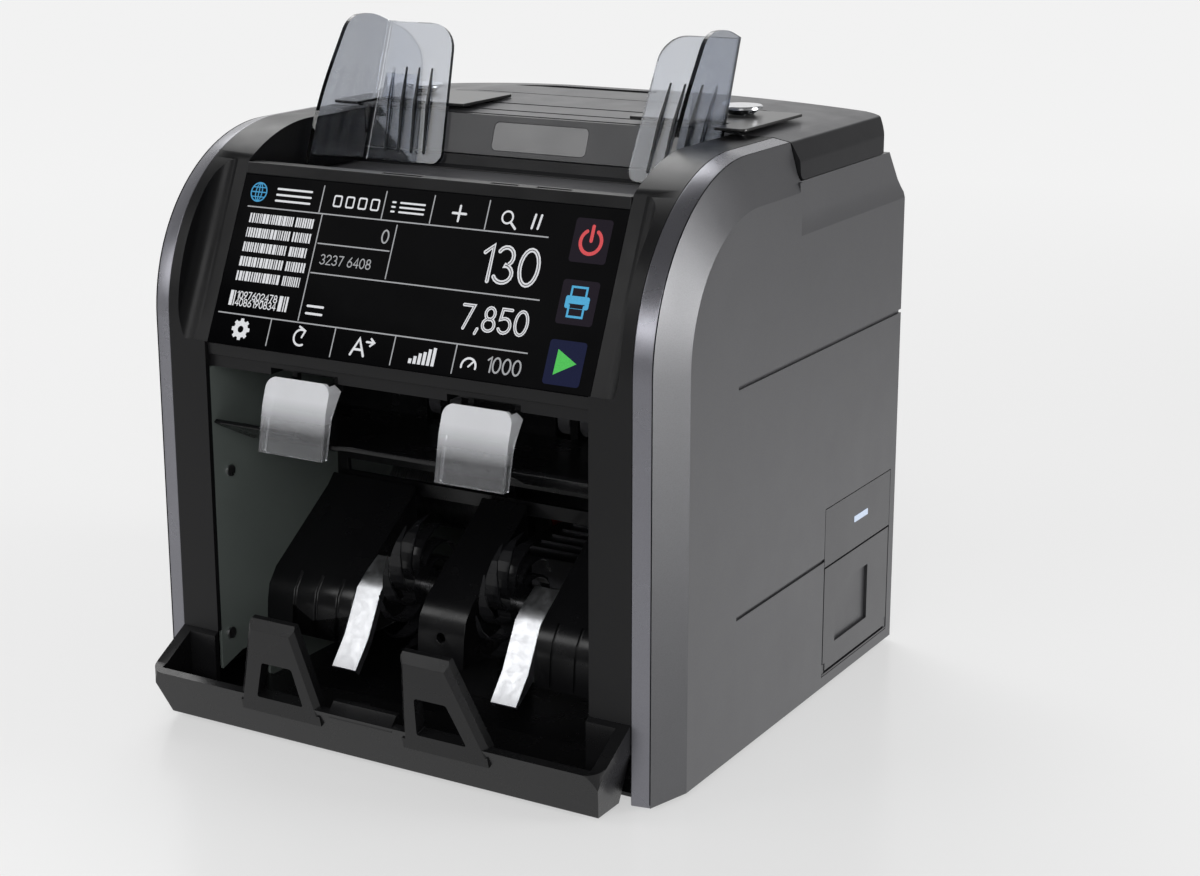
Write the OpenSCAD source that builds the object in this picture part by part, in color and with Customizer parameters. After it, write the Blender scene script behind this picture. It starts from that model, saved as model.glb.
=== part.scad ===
// Banknote counter with a top hopper, a stacker pocket, a reject pocket and a side receipt printer.
// Millimetres, +Z up, the front faces -Y, the origin is the middle of the ground that it covers.
// Inside place(), Y is measured from the front face of the pillars and Z from the casing's underside.

/* [Casing] */
// Width across the two side covers
casing_w = 256; // [254:1:280]
// Depth from the front pillars to the back edge of the side covers
casing_d = 232; // [230:1:250]
// Height of the side covers, from underside to crown
casing_h = 252; // [250:1:262]
// Radius of the rounded upper front
arch_r = 78; // [75:1:79]
// Width of the bevelled band along the front and top of a side cover
band_w = 20.5; // [14:0.5:22]
// How far the bevelled band steps outward
band_rise = 5.7; // [4.5:0.1:6.5]
// Width of each bright trim strip
trim_w = 8; // [6:0.5:9]
// How far the trim strip stands in front of the side cover
trim_rise = 1.5; // [1:0.1:2]
// Depth of the trim strip's section
trim_t = 6; // [4:0.5:8]
// Wall of the moulded covers
wall = 2.5; // [2:0.1:3]
// Width of the long grooves in the side covers
groove_w = 1.6; // [1:0.1:3]
// Depth of the long grooves in the side covers
groove_t = 1.2; // [0.6:0.1:1.5]
// Height of the rubber feet
foot_h = 2.5; // [2:0.5:6]
// Radius of the rubber feet
foot_r = 9; // [6:0.5:10]

/* [Lid] */
// Height of the lid's parting line below the crown
lid_drop = 16.3; // [15:0.1:18]
// Height of the deck's front edge above the crown
lid_raise = 1.5; // [1:0.1:3]
// How far the deck climbs towards its rear
deck_rise = 4.7; // [2:0.1:6]
// Front edge of the lid
lid_front = 119.5; // [118:0.5:123]
// Radius of the lid's lower front corners
lid_corner = 4; // [2:0.5:6]
// Depth of the finger scallop below the lid
scallop_t = 1.8; // [1:0.1:2.2]
// Distance from the lid's back to the back edge of the side covers
lid_inset = 15.5; // [12:0.5:20]
// Running gap round the lid
lid_gap = 0.7; // [0.4:0.1:1]
// Radius of the lid's hinge pin
hinge_r = 2; // [1.5:0.1:2.4]
// Length of the shallow slot near the deck's rear edge
grip_w = 84; // [60:1:110]

/* [Pockets] */
// Width between the chassis plates, for notes up to 185 long
pocket_w = 190; // [184:1:194]
// Thickness of the steel chassis plates
plate_t = 1.5; // [1.2:0.1:2]
// Height of the reject shelf's front edge below the crown
shelf_drop = 120.7; // [119:0.1:122]
// Depth of the finger notch in the reject shelf
shelf_notch = 30; // [20:1:36]
// Front face of the wall behind both pockets
back_y = 92; // [91:0.5:95]
// Inner edge of the outer stacker blocks
block_x = 48; // [46:0.5:52]
// Half width of the middle stacker block
middle_x = 12; // [10:0.5:15]
// Lower edge of the stacker blocks
block_low = 25.5; // [22:0.5:28]
// Width of the polished note fingers
finger_w = 12; // [8:0.5:13]
// Radius of the stacker wheels
wheel_r = 31; // [26:0.5:32]
// Number of vanes on a stacker wheel
vane_n = 11; // [6:1:12]
// Sweep of a vane from its tip back to the hub
vane_sweep = 78; // [50:1:90]
// Distance of a stacker wheel from the middle
wheel_x = 25; // [22:0.5:27]
// Width of a stacker wheel
wheel_w = 6.6; // [4:0.2:8]
// Radius of a stacker wheel's hub
hub_r = 9; // [7:0.5:11]

/* [Tray] */
// How far the tray's rim reaches in front of the pillars
rim_y = 26; // [24:0.5:32]
// Height of the tray's front rim
rim_z = 21.6; // [19:0.2:24]
// Height of the tray's side rim where it meets the pillars
rim_back_z = 34.6; // [32:0.2:38]
// How far the tray's lower edge reaches in front of the pillars
tray_low_y = 16.5; // [14:0.5:20]
// Length of the A-shaped stops above the rim
stop_len = 38.5; // [34:0.5:42]
// Forward lean of the A-shaped stops
stop_lean = 14; // [8:1:18]
// Thickness of the A-shaped stops
stop_t = 6; // [4:0.5:7]
// Distance of an A-shaped stop from the middle
stop_x = 41; // [38:0.5:46]

/* [Display] */
// Height of the glass's lower edge below the crown
glass_drop = 85.8; // [84:0.2:88]
// Backward tilt of the display
tilt = 24.6; // [23:0.1:26]
// Height of the glass along its slope
glass_h = 75.4; // [72:0.1:76]
// Thickness of the touch glass
glass_t = 3; // [2:0.1:4]
// Depth of the display housing behind the glass
display_t = 15; // [12:0.5:16]
// Width of the hollow flute beside the display
flute_w = 14; // [11:0.5:15]

/* [Hopper] */
// Depth of the hopper floor below the crown
floor_drop = 22; // [21:0.5:24]
// Backward lean of the note guides
guide_lean = 20.4; // [18:0.1:23]
// Height of the note guides along their slope
guide_h = 65; // [55:1:75]
// Wall of the clear note guides
guide_t = 2; // [1.6:0.1:2.4]
// Free space between a guide and the hopper wall
guide_side = 3.5; // [2:0.5:6]
// Outer radius of the fold between a guide's panes
fold_r = 4; // [3:0.5:8]
// Width of the guide's rear pane at its foot
pane_w = 41.5; // [36:0.5:50]
// How far the rear pane's inner edge leans outward over its height
pane_taper = 6; // [0:0.5:8]
// Thickness of the slider plates over the deck
slider_t = 1.3; // [1:0.1:2]
// Radius of the guides' lock knobs
knob_r = 9.3; // [7:0.1:11]
// Travel of each note guide
guide_travel = 34; // [20:1:36]

/* [Drive] */
// Radius of the roller shafts
shaft_r = 4; // [3:0.1:4.5]
// Radial running clearance of the shafts
run_gap = 0.05; // [0.03:0.01:0.09]
// Radius of the feed tyres
feed_r = 20; // [18:0.1:20.2]
// Radius of the transport tyres
transport_r = 9.7; // [8:0.1:9.9]
// Radius of the reject tyres
reject_r = 7.3; // [6:0.1:7.6]
// Height of the pickup tyres above the hopper floor
pickup_proud = 0.8; // [0.4:0.1:1.2]
// Thickness of the belts
belt_t = 1.5; // [1:0.1:2]
// Width of the belts
belt_w = 5; // [4:0.5:5]
// Radius of the motor's pulley
motor_pulley_r = 8; // [6:0.5:9]
// Radius of the shaft pulleys
shaft_pulley_r = 10; // [8:0.5:10]
// Radius of the stacker shaft's pulley
stacker_pulley_r = 20; // [12:0.5:22]

/* [Printer] */
// Width of the printer's frame on the side cover
printer_w = 73; // [70:0.5:76]
// Height of the printer's upper panel above the casing's underside
printer_top = 84.5; // [80:0.5:90]
// Height of the door's upper edge
door_top = 56.5; // [54:0.5:58]
// Radius of the paper roll
paper_r = 18; // [12:0.5:18.5]
// Width of the receipt paper
paper_w = 57.5; // [50:0.5:58]
// Radius of the platen roller
platen_r = 4.2; // [3.5:0.1:4.5]

/* [Hidden] */
$fn = 48;

// Planes of the casing
half_w = casing_w / 2;
seam_x = half_w - band_rise;
trim_x = seam_x - trim_w;
pocket_half = pocket_w / 2;
arc_y = trim_rise + arch_r;
arc_z = casing_h - arch_r;
cheek_r = arch_r + trim_rise;
cheek_t = 16;
flange_d = 20;

// Lid lines
lid_z = casing_h - lid_drop;
shelf_z = casing_h - shelf_drop;
lid_top = casing_h + lid_raise;
lid_rear = casing_d - lid_inset;
chamfer_z = lid_z - lid_inset * 1.3;
hinge_boss = hinge_r + 2;
hinge_y = lid_rear - hinge_boss;
hinge_z = lid_z + lid_gap + hinge_boss;
ear_x = 75;
ear_w = 10;
boss_w = 10;

// Display lines
glass_y = 1.6;
glass_z = casing_h - glass_drop;
lip_h = 5.3;
header_top = glass_z - lip_h;
header_z = header_top - 5.4;
header_y = 3.3;

// Hopper lines
floor_z = casing_h - floor_drop;
floor_t = 2.2;
guide_z = floor_z + 1;
guide_y = lid_front - 6.5;
guide_gap = 0.6;
guide_x = pocket_half - guide_side - guide_t;
throat_y = guide_y + 0.2;
knob_y = guide_y + 40;
knob_x = guide_x - 6.5;
slider_back = knob_y + 15;
slider_z = deck_z(slider_back) + 0.3;
stem_r = 2.5;
nut_r = 6;
slot_half = stem_r + 0.7;
line_w = 0.9;
line_t = 0.9;

// Shaft places as [Y, Z]
pickup_c = [65, floor_z - 16];
pickup_r = 16 + pickup_proud;
feed_c = [throat_y - 1.2 - feed_r, floor_z - 23];
sensor_z = floor_z - 68;
sensor_h = 22;
transport_c = [throat_y - 1.1 - transport_r, floor_z - 80];
reject_c = [back_y + 0.7 + reject_r, shelf_z - 5.3];
stacker_c = [56.3, 52.5];
motor_c = [150, 64];
motor_r = 18;
motor_len = 51;
motor_shaft_r = 2.5;
bearing_r = 7;
bearing_w = 4;
lane_a = pocket_half + plate_t + 3.5;
lane_step = belt_w + 1.5;
belt_gap = 0.3;

// Reject stops
stop_hinge_x = 44.7;
stop_hinge = [4, header_z - 4];
stop_half = 16.5;
lug_x = 11;
lug_half = 1.3;
lug_r = 2.6;
stop_plate_t = 1.6;

// Stacker lines
panel_t = 2.5;
panel_low = 80;
panel_top = shelf_z + 6.5;
exit_low = 86.5;
exit_h = 6;
slope_top = exit_low - 0.5;
nose = [37, 46];
slope_start = [42.5, 53];
vane_t = 1.6;
first_vane = 9.3;

// Tray
tray_floor = 4;
tray_end = 33;
tray_taper = 5.3;
tray_corner = 8;
stop_bevel = 3.6;
leg_bevel = 2.2;
stop_reach = rim_y + (stop_len - stop_bevel) * sin(stop_lean);

// Printer
printer_back = casing_d - 6;
printer_y = printer_back - printer_w;
printer_t = 5;
printer_low = 5.4;
rail = 2.4;
bin_x = half_w - 52;
bin_t = 1.8;
bin_floor = 7.3;
paper_c = [bin_x + 3 + paper_r, bin_floor + 0.3 + paper_r];
paper_core_r = 6;
door_gap = 0.4;
door_axis = [half_w - 1.8, printer_low + 3.1];
sill = 0.8;
trunnion_r = 1;
ear_h = 2.2;
platen_c = [half_w - 7.6, door_top - 5];
pivot_r = 1.2;

// Rear fittings
inlet_x = -85;
inlet_z = 30;
inlet_flange = 2;
supply = [98, 69, 42.4];
supply_low = [bin_x - 8 - supply.x, casing_d - 27 - supply.y, 1.6];
rocker_x = -48;
rocker_w = 20;
rocker_h = 11;
rocker_c = [casing_d - wall - 2.5, inlet_z];
board_y = casing_d - 17;
board = [120, 110];
board_t = 1.6;
port_z = 112;

// Places of the rollers along their shafts
pickup_x = 34;
pickup_w = 11;
feed_x = [14, 52];
feed_w = 14;
reject_x = [28.5, 39.8];
reject_w = 6;
ports = [[-30, 13, 6], [-8, 13, 11], [22, 31, 11]];

// Whole model
depth_centre = (casing_d + inlet_flange - stop_reach) / 2;
plate_rear = casing_d - 27;

module place() translate([0, -depth_centre, foot_h]) children();

// Extrudes a (Y, Z) outline from x0 to x1
module along_x(x0, x1)
    translate([x0, 0, 0]) rotate([90, 0, 90]) linear_extrude(x1 - x0) children();

// Extrudes an (X, Z) outline from y0 to y1
module along_y(y0, y1)
    translate([0, y1, 0]) rotate([90, 0, 0]) linear_extrude(y1 - y0) children();

module both_sides() {
    children();
    mirror([1, 0, 0]) children();
}

module box(low, high) translate(low) cube(high - low);

// Rod along X at c = [Y, Z]
module rod_x(r, x0, x1, c)
    translate([x0, c.x, c.y]) rotate([0, 90, 0]) cylinder(r = r, h = x1 - x0);

module rod_y(r, y0, y1, x, z)
    translate([x, y1, z]) rotate([90, 0, 0]) cylinder(r = r, h = y1 - y0);

// Rectangle with round corners, from one corner to the other
module round_rect(low, high, r) {
    translate([low.x + r, low.y]) square([high.x - low.x - 2 * r, high.y - low.y]);
    translate([low.x, low.y + r]) square([high.x - low.x, high.y - low.y - 2 * r]);
    for (x = [low.x + r, high.x - r], y = [low.y + r, high.y - r]) translate([x, y]) circle(r);
}

function unit(v) = v / norm(v);

// Points of a round corner of radius r at b, between the edges to a and c
function corner(a, b, c, r, n) =
    let (u = unit(a - b), v = unit(c - b), half = acos(u * v) / 2)
    let (m = b + unit(u + v) * r / sin(half), p = b + u * r / tan(half) - m)
    let (turn = (cross(u, v) > 0 ? -1 : 1) * (180 - 2 * half))
    [for (i = [0:n]) m + [p.x * cos(turn * i / n) - p.y * sin(turn * i / n),
        p.x * sin(turn * i / n) + p.y * cos(turn * i / n)]];

// Outline whose corners are rounded by the radii given
function rounded(points, radii, n = 8) = let (k = len(points))
    [for (i = [0:k - 1]) each (radii[i] > 0
        ? corner(points[(i + k - 1) % k], points[i], points[(i + 1) % k], radii[i], n)
        : [points[i]])];

// Point on the display: s up the glass, n behind its front face
function at_glass(s, n) =
    [glass_y + s * sin(tilt) + n * cos(tilt), glass_z + s * cos(tilt) - n * sin(tilt)];

// Height of the deck at depth y
function deck_z(y) = lid_top + (y - lid_front) * deck_rise / (lid_rear - lid_front);

// Back face of the guides' rear panes at height z
function pane_back(z) = guide_y + (z - guide_z) * tan(guide_lean) + guide_t / cos(guide_lean);

module on_glass() translate([0, glass_y, glass_z]) rotate([-tilt, 0, 0]) children();

// Side outline of the casing under the lid, with its edges drawn in by e
module casing_side(e) polygon(rounded([[-10, e], [casing_d - e, e], [casing_d - e, chamfer_z - e / 2],
    [lid_rear - e / 2, lid_z - e], [lid_front - e, lid_z - e], [lid_front - e, lid_top + 20],
    [-10, lid_top + 20]], [0, 0, 0, 0, lid_corner + e, 0, 0]));

// Rounded arch outline of radius r, from height z0
module arch(r, z0) {
    intersection() {
        translate([arc_y, arc_z]) circle(r);
        translate([arc_y - r, arc_z]) square(r);
    }
    translate([arc_y - r, z0]) square([r, arc_z - z0]);
    translate([arc_y, z0]) square([lid_front + 10 - arc_y, arc_z + r - z0]);
}

// Bevelled outer form of a side cover, moved inward by s
module cover_form(s) translate([s, 0, 0]) {
    linear_extrude(arc_z)
        polygon([[seam_x, trim_rise], [half_w, trim_rise + band_w], [half_w, arc_y + 1],
            [seam_x, arc_y + 1]]);
    translate([seam_x, arc_y, arc_z]) rotate([0, 90, 0])
        cylinder(r1 = arch_r, r2 = arch_r - band_w, h = band_rise);
    along_y(arc_y, lid_front + lid_corner)
        polygon([[seam_x, casing_h], [half_w, casing_h - band_w], [half_w, arc_z - 1],
            [seam_x, arc_z - 1]]);
    box([seam_x, arc_y, 0], [half_w, casing_d, casing_h - band_w]);
    box([seam_x, lid_front - 1, 0], [half_w, casing_d, lid_z]);
}

// Shell of one side cover, drawn on the right
module cover_shell() {
    difference() {
        intersection() {
            cover_form(0);
            along_x(seam_x, half_w) casing_side(0);
        }
        difference() {
            intersection() {
                cover_form(-wall);
                along_x(seam_x - wall, half_w - wall) casing_side(wall);
            }
            translate([-wall, 0, 0]) cover_scallop(wall);
        }
        cover_groove(arc_z - 14, arc_y - 15.5, casing_d + 1);
        cover_groove(61, arc_y - 14.5, printer_y + 0.5);
        cover_scallop(0);
    }
}

// Long groove in the flat of the cover at height z
module cover_groove(z, y0, y1)
    box([half_w - groove_t, y0, z - groove_w / 2], [half_w + 1, y1, z + groove_w / 2]);

// Finger scallop below the lid, which runs out softly at its lower edge; it starts e further forward
module cover_scallop(e) {
    low = chamfer_z - 2.5;
    along_y(lid_front + 1 - e, casing_d + 1)
        polygon([[half_w, low], [half_w + 1, low], [half_w + 1, lid_z + 10], [half_w - scallop_t, lid_z + 10],
            [half_w - scallop_t, low + 9], [half_w - scallop_t * 0.7, low + 5],
            [half_w - scallop_t * 0.3, low + 2]]);
}

module side_cover_left() color("dimgray") place() mirror([1, 0, 0]) cover_shell();

module side_cover_right() color("dimgray") place() difference() {
    cover_shell();
    along_x(seam_x - 1, half_w + 1)
        translate([printer_y - door_gap, printer_low - door_gap])
            square([printer_w + 2 * door_gap, printer_top - printer_low + 2 * door_gap]);
}

// One bright trim strip, drawn on the right
module trim_form() {
    difference() {
        intersection() {
            union() {
                linear_extrude(arc_z)
                    polygon([[trim_x, 0], [seam_x, trim_rise], [seam_x, arc_y], [trim_x, arc_y]]);
                translate([trim_x, arc_y, arc_z]) rotate([0, 90, 0])
                    cylinder(r1 = cheek_r, r2 = arch_r, h = trim_w);
                along_y(arc_y, lid_front + lid_corner)
                    polygon([[trim_x, casing_h + trim_rise], [seam_x, casing_h], [seam_x, arc_z],
                        [trim_x, arc_z]]);
            }
            along_x(trim_x, seam_x) intersection() {
                casing_side(0);
                arch(cheek_r, 0);
            }
        }
        along_x(trim_x - 1, seam_x + 1) arch(arch_r - trim_t, -1);
    }
}

module trim_strip_left() color("silver") place() mirror([1, 0, 0]) trim_form();

module trim_strip_right() color("silver") place() trim_form();

// Fluted hollow between the display and the rounded cheek
module flute() {
    fillet = 8;
    floor_w = flute_w - fillet;
    on_glass() linear_extrude(glass_h + 25) {
        translate([pocket_half - 20, -40]) square([20 + floor_w, 40]);
        translate([pocket_half, -40]) square([flute_w, 40 - fillet]);
        translate([pocket_half + floor_w, -fillet]) circle(fillet);
    }
}

// Lugs behind a reject stop, with the bores for its trunnions
module stop_lugs() {
    back = stop_hinge.x + 10;
    for (s = [-1, 1]) translate([stop_hinge_x + s * lug_x, 0, 0]) difference() {
        union() {
            rod_x(lug_r, -lug_half, lug_half, stop_hinge);
            box([-lug_half, stop_hinge.x, stop_hinge.y - 2], [lug_half, back, stop_hinge.y + 2]);
            box([-lug_half, back - lug_r, stop_hinge.y], [lug_half, back, header_z + 1]);
        }
        rod_x(pivot_r + run_gap, -lug_half - 1, lug_half + 1, stop_hinge);
    }
}

module front_frame() color([0.1, 0.1, 0.11]) place() {
    both_sides() {
        difference() {
            intersection() {
                along_x(pocket_half, trim_x) difference() {
                    arch(cheek_r, header_z);
                    arch(cheek_r - cheek_t, header_z - 1);
                }
                along_x(pocket_half, trim_x) casing_side(0);
            }
            flute();
        }
        intersection() {
            along_x(pocket_half, pocket_half + wall) difference() {
                arch(cheek_r, 0);
                square([36, lid_top]);
                square([casing_d, floor_z - 1.8]);
            }
            along_x(pocket_half, pocket_half + wall) casing_side(0);
        }
        box([pocket_half, 0, rim_back_z], [trim_x, wall, header_z]);
        box([trim_x - wall, 0, rim_back_z], [trim_x, flange_d, header_z]);
        stop_lugs();
    }
    difference() {
        box([-pocket_half, header_y, header_z], [pocket_half, header_y + 20, header_top]);
        // Room for the tops of the reject stops to swing back
        for (s = [-1, 1]) translate([s * stop_hinge_x, 0, 0])
            box([-stop_half - 1, 0, header_z - 1], [stop_half + 1, stop_hinge.x + 7.2, header_z + 3]);
    }
}

// Tray form up to its sloping rims
module tray_form() {
    intersection() {
        along_x(-trim_x, trim_x)
            polygon([[-tray_low_y, 0], [-rim_y, rim_z], [-rim_y + 6.5, rim_z + 1.8],
                [0, rim_back_z], [0, 0]]);
        along_y(-rim_y - 1, 1)
            polygon([[-trim_x + tray_taper, 0], [trim_x - tray_taper, 0], [trim_x, rim_z + 1],
                [trim_x, 60], [-trim_x, 60], [-trim_x, rim_z + 1]]);
        linear_extrude(60) round_rect([-trim_x, -rim_y], [trim_x, 20], tray_corner);
    }
}

// Flat outline of the right-hand stop: X from the middle, Y up from the rim
stop_foot = [stop_x - 20, stop_x + 21.6];
stop_head = [stop_x - 14, stop_x + 8.6];

module stop_outline() {
    difference() {
        polygon([[stop_foot[0], -8], [stop_foot[1], -8], [stop_foot[1], 0],
            [stop_head[1], stop_len], [stop_head[0], stop_len], [stop_foot[0], 0]]);
        polygon(rounded([[stop_x - 12, 0], [stop_x + 12.2, 0], [stop_x + 5.5, stop_len - 20],
            [stop_x - 10, stop_len - 20]], [0.8, 0.8, 1.5, 1.5], 3));
    }
}

// Cut of width w along the front edge from a to b, with the waste on the left
module front_bevel(a, b, w) translate([a.x, 0, a.y]) rotate([0, -atan2(b.y - a.y, b.x - a.x), 0])
    along_x(-3, norm(b - a) + 3) polygon([[-1, -w - 1], [w + 1, 1], [-1, 1]]);

module tray_stop() {
    left = [[stop_foot[0], 0], [stop_head[0], stop_len]];
    right = [[stop_head[1], stop_len], [stop_foot[1], 0]];
    translate([0, -rim_y, rim_z]) rotate([stop_lean, 0, 0]) difference() {
        translate([0, stop_t, 0]) rotate([90, 0, 0]) linear_extrude(stop_t) stop_outline();
        front_bevel(left[0], left[1], leg_bevel);
        front_bevel(left[1], right[0], stop_bevel);
        front_bevel(right[0], right[1], leg_bevel);
    }
}

module note_tray() color([0.12, 0.12, 0.13]) place() {
    sill_x = stop_x - 25;
    difference() {
        tray_form();
        along_x(-trim_x + wall + 3, trim_x - wall - 3)
            polygon([[-tray_low_y + wall, tray_floor], [-rim_y + wall + 0.6, rim_z + 2],
                [-rim_y + wall + 0.6, 60], [-wall, 60], [-wall, tray_floor]]);
        box([-pocket_half, -wall - 1, tray_floor], [pocket_half, 1, 60]);
    }
    box([-pocket_half + 0.1, -1, 0], [pocket_half - 0.1, tray_end, tray_floor]);
    both_sides() tray_stop();
    along_x(-sill_x, sill_x)
        polygon([[-rim_y + 0.6, rim_z - 2], [-rim_y + 0.4, rim_z], [-rim_y + 4.4, rim_z + 4.2],
            [-rim_y + 7.4, rim_z + 4.2], [-rim_y + 7.4, rim_z - 2]]);
}

module base_plate() color("gray") place() {
    t = 1.6;
    difference() {
        box([-seam_x, arc_y - arch_r + trim_t, 0], [seam_x, casing_d, t]);
        box([-pocket_half - 0.4, -1, -1], [pocket_half + 0.4, tray_end + 0.3, t + 1]);
        for (i = [0:8]) box([-50, 90 + i * 6, -1], [50, 93 + i * 6, t + 1]);
    }
}

module feet() color([0.15, 0.15, 0.15]) place() both_sides()
    for (y = [26, casing_d - 26])
        translate([pocket_half + 12, y, -foot_h]) cylinder(r1 = foot_r - 0.8, r2 = foot_r, h = foot_h);

// Outline of the left chassis plate as (Y, Z)
module plate_outline() {
    r = cheek_r - cheek_t - 0.5;
    intersection() {
        polygon([[wall, 16.3], [16, 20.8], [36, 20.8], [36, 1.6], [plate_rear, 1.6],
            [plate_rear, floor_z - 2], [arc_y - r, floor_z - 2], [arc_y - r, header_z - 0.5],
            [wall, header_z - 0.5]]);
        union() {
            square([casing_d, arc_z]);
            translate([arc_y, arc_z]) circle(r);
            translate([arc_y, 0]) square([casing_d, casing_h]);
        }
    }
}

module plate_holes() {
    for (c = [pickup_c, feed_c, transport_c, reject_c, stacker_c]) translate(c) circle(bearing_r);
    for (y = [120:22:plate_rear - 20]) translate([y, 180]) circle(6);
}

module chassis_plate_left() color([0.45, 0.48, 0.47]) place() mirror([1, 0, 0]) {
    along_x(pocket_half, pocket_half + plate_t) difference() {
        plate_outline();
        plate_holes();
        translate(motor_c) circle(motor_shaft_r + 3);
    }
    box([pocket_half, 40, 1.6], [pocket_half + 12, plate_rear, 1.6 + plate_t]);
}

module chassis_plate_right() color([0.45, 0.48, 0.47]) place() {
    along_x(pocket_half, pocket_half + plate_t) difference() {
        plate_outline();
        plate_holes();
        translate([printer_y - 3, 0]) square([printer_w + 10, printer_top + 8]);
    }
    box([pocket_half, 40, 1.6], [pocket_half + 12, printer_y - 3, 1.6 + plate_t]);
}

module cross_rods() color("silver") place()
    for (c = [[125, 30], [plate_rear - 15, 110], [plate_rear - 15, floor_z - 15], [60, 170]])
        rod_x(4, -pocket_half, pocket_half, c);

module bearing_set() color("goldenrod") place() both_sides()
    for (c = [pickup_c, feed_c, transport_c, reject_c, stacker_c]) difference() {
        rod_x(bearing_r, pocket_half, pocket_half + bearing_w, c);
        rod_x(shaft_r + run_gap, pocket_half - 1, pocket_half + bearing_w + 1, c);
    }

// Shelf of the reject pocket with its wide finger notch
module reject_shelf() color([0.2, 0.2, 0.21]) place() {
    t = 2.5;
    top = [[5, shelf_z], [9, shelf_z - 1.6], [28, shelf_z - 11.3], [46, shelf_z - 12.8],
        [back_y, shelf_z - 12.8]];
    difference() {
        along_x(-pocket_half, pocket_half) polygon(concat(top, [[back_y, shelf_z - 12.8 - t],
            [46, shelf_z - 12.8 - t], [27.5, shelf_z - 11.3 - t], [8, shelf_z - 1.6 - t],
            [3, shelf_z - 1.2]]));
        linear_extrude(200) {
            round_rect([-50, -20], [50, shelf_notch], 8);
        }
    }
}

module pocket_back_panel() color([0.22, 0.22, 0.23]) place() {
    roller_low = reject_c.y - reject_r - 1;
    difference() {
        box([-pocket_half, back_y, panel_low], [pocket_half, back_y + panel_t, panel_top]);
        box([-pocket_half + 6, back_y - 1, exit_low],
            [pocket_half - 6, back_y + panel_t + 1, exit_low + exit_h]);
        for (s = [-1, 1], x = reject_x) translate([s * x, 0, 0])
            box([-reject_w / 2 - 0.8, back_y - 1, roller_low],
                [reject_w / 2 + 0.8, back_y + 4, roller_low + 2 * reject_r + 2]);
    }
    // Raised guide plate beside the left rollers
    along_y(back_y - 1, back_y)
        polygon([[-69, shelf_z - 10], [-46, shelf_z - 10], [-49, shelf_z + 3], [-65, shelf_z + 3]]);
    // Return that closes the wall's upper edge against the rollers
    box([-pocket_half, back_y, panel_top - panel_t], [pocket_half, back_y + 5, panel_top]);
}

// One reject stop on its trunnions, centred on x = 0
module stop_form() {
    front = [[-0.5, header_z + 0.5], [-4.7, header_z - 11.5], [-8.5, header_z - 31]];
    difference() {
        along_x(-stop_half, stop_half)
            polygon([front[0], front[1], front[2], front[2] + [4, 0], front[1] + [4.2, -3],
                [stop_hinge.x, stop_hinge.y - 3.5], stop_hinge + [2.6, 0], stop_hinge + [0, 3.5]]);
        along_x(-stop_half + stop_plate_t, stop_half - stop_plate_t)
            polygon([front[0] + [stop_plate_t, 2], front[0] + [stop_plate_t, 0],
                front[1] + [stop_plate_t, 0], front[2] + [stop_plate_t, -2], [20, front[2].y - 2], [20, header_z + 3]]);
        // Round upper corners
        for (s = [0, 1]) mirror([s, 0, 0]) along_y(-12, 12) difference() {
            translate([stop_half - 5, header_z - 4.5]) square([6, 6]);
            translate([stop_half - 5, header_z - 4.5]) circle(5);
        }
    }
    for (s = [0, 1]) mirror([s, 0, 0])
        rod_x(pivot_r, lug_x - lug_half - 0.5, stop_half - 0.5, stop_hinge);
}

module reject_stop_left() color([0.7, 0.72, 0.75, 0.6]) place()
    translate([-stop_hinge_x, 0, 0]) stop_form();

module reject_stop_right() color([0.7, 0.72, 0.75, 0.6]) place()
    translate([stop_hinge_x, 0, 0]) stop_form();

// Side outline of the stacker blocks, drawn in by e
module block_side(e) {
    crest = back_y - 3.5;
    polygon([[nose.x - 2.5 + e, block_low - e], [nose.x - 1.5 + e, nose.y - 7],
        [nose.x + e, nose.y], slope_start + [e / 2, -e], [crest - 5, slope_top - 5 - e],
        [crest + e, slope_top - e], [crest + e, slope_top - 12 - e], [back_y + e, slope_top - 30],
        [back_y + e, block_low - e]]);
}

module block_form(x0, x1) {
    difference() {
        along_x(x0, x1) block_side(0);
        along_x(x0 + wall, x1 - wall) block_side(wall);
        rod_x(shaft_r + 1, x0 - 1, x1 + 1, stacker_c);
    }
}

// Outer stacker block with its upright flutes, drawn on the right
module outer_block() {
    difference() {
        block_form(block_x, pocket_half);
        for (i = [0:2]) along_x(block_x + 7.4 + 11.7 * i, block_x + 8.6 + 11.7 * i) intersection() {
            difference() {
                block_side(-1);
                block_side(1);
            }
            square([casing_d, slope_start.y]);
        }
    }
}

module stacker_block_left() color([0.16, 0.16, 0.17]) place() mirror([1, 0, 0]) outer_block();

module stacker_block_right() color([0.16, 0.16, 0.17]) place() outer_block();

module stacker_block_middle() color([0.16, 0.16, 0.17]) place() {
    difference() {
        block_form(-middle_x, middle_x);
        // Sensor window
        rod_y(2.2, nose.x - 6, nose.x + 3, 0, nose.y - 8);
    }
    box([-middle_x, 62, 1.6], [middle_x, 64.5, block_low]);
    box([-middle_x, back_y - wall, 1.6], [middle_x, back_y, block_low]);
}

// Bent steel finger with its fixing flange, drawn on the right
module finger_form() {
    t = 1.2;
    front = [[20, block_low - 4.5], [30, block_low + 7], [40.5, nose.y + 5.5], [47, nose.y + 10.5],
        [57, nose.y + 16]];
    back = [for (i = [len(front) - 1:-1:0]) front[i] + [t, -t]];
    fold = [for (i = [len(front) - 2:-1:0]) front[i] + [2.8, -2.8]];
    along_x(block_x - finger_w - 1, block_x) polygon(concat(front, back));
    along_x(block_x - finger_w - 1, block_x - finger_w) polygon(concat([for (i = [0:3]) front[i]], fold));
    along_x(block_x - t, block_x)
        polygon([front[0], front[1], front[2], front[3], [front[3].x, block_low + 3], [35, block_low + 3],
            front[0] + [3, 0]]);
}

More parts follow.
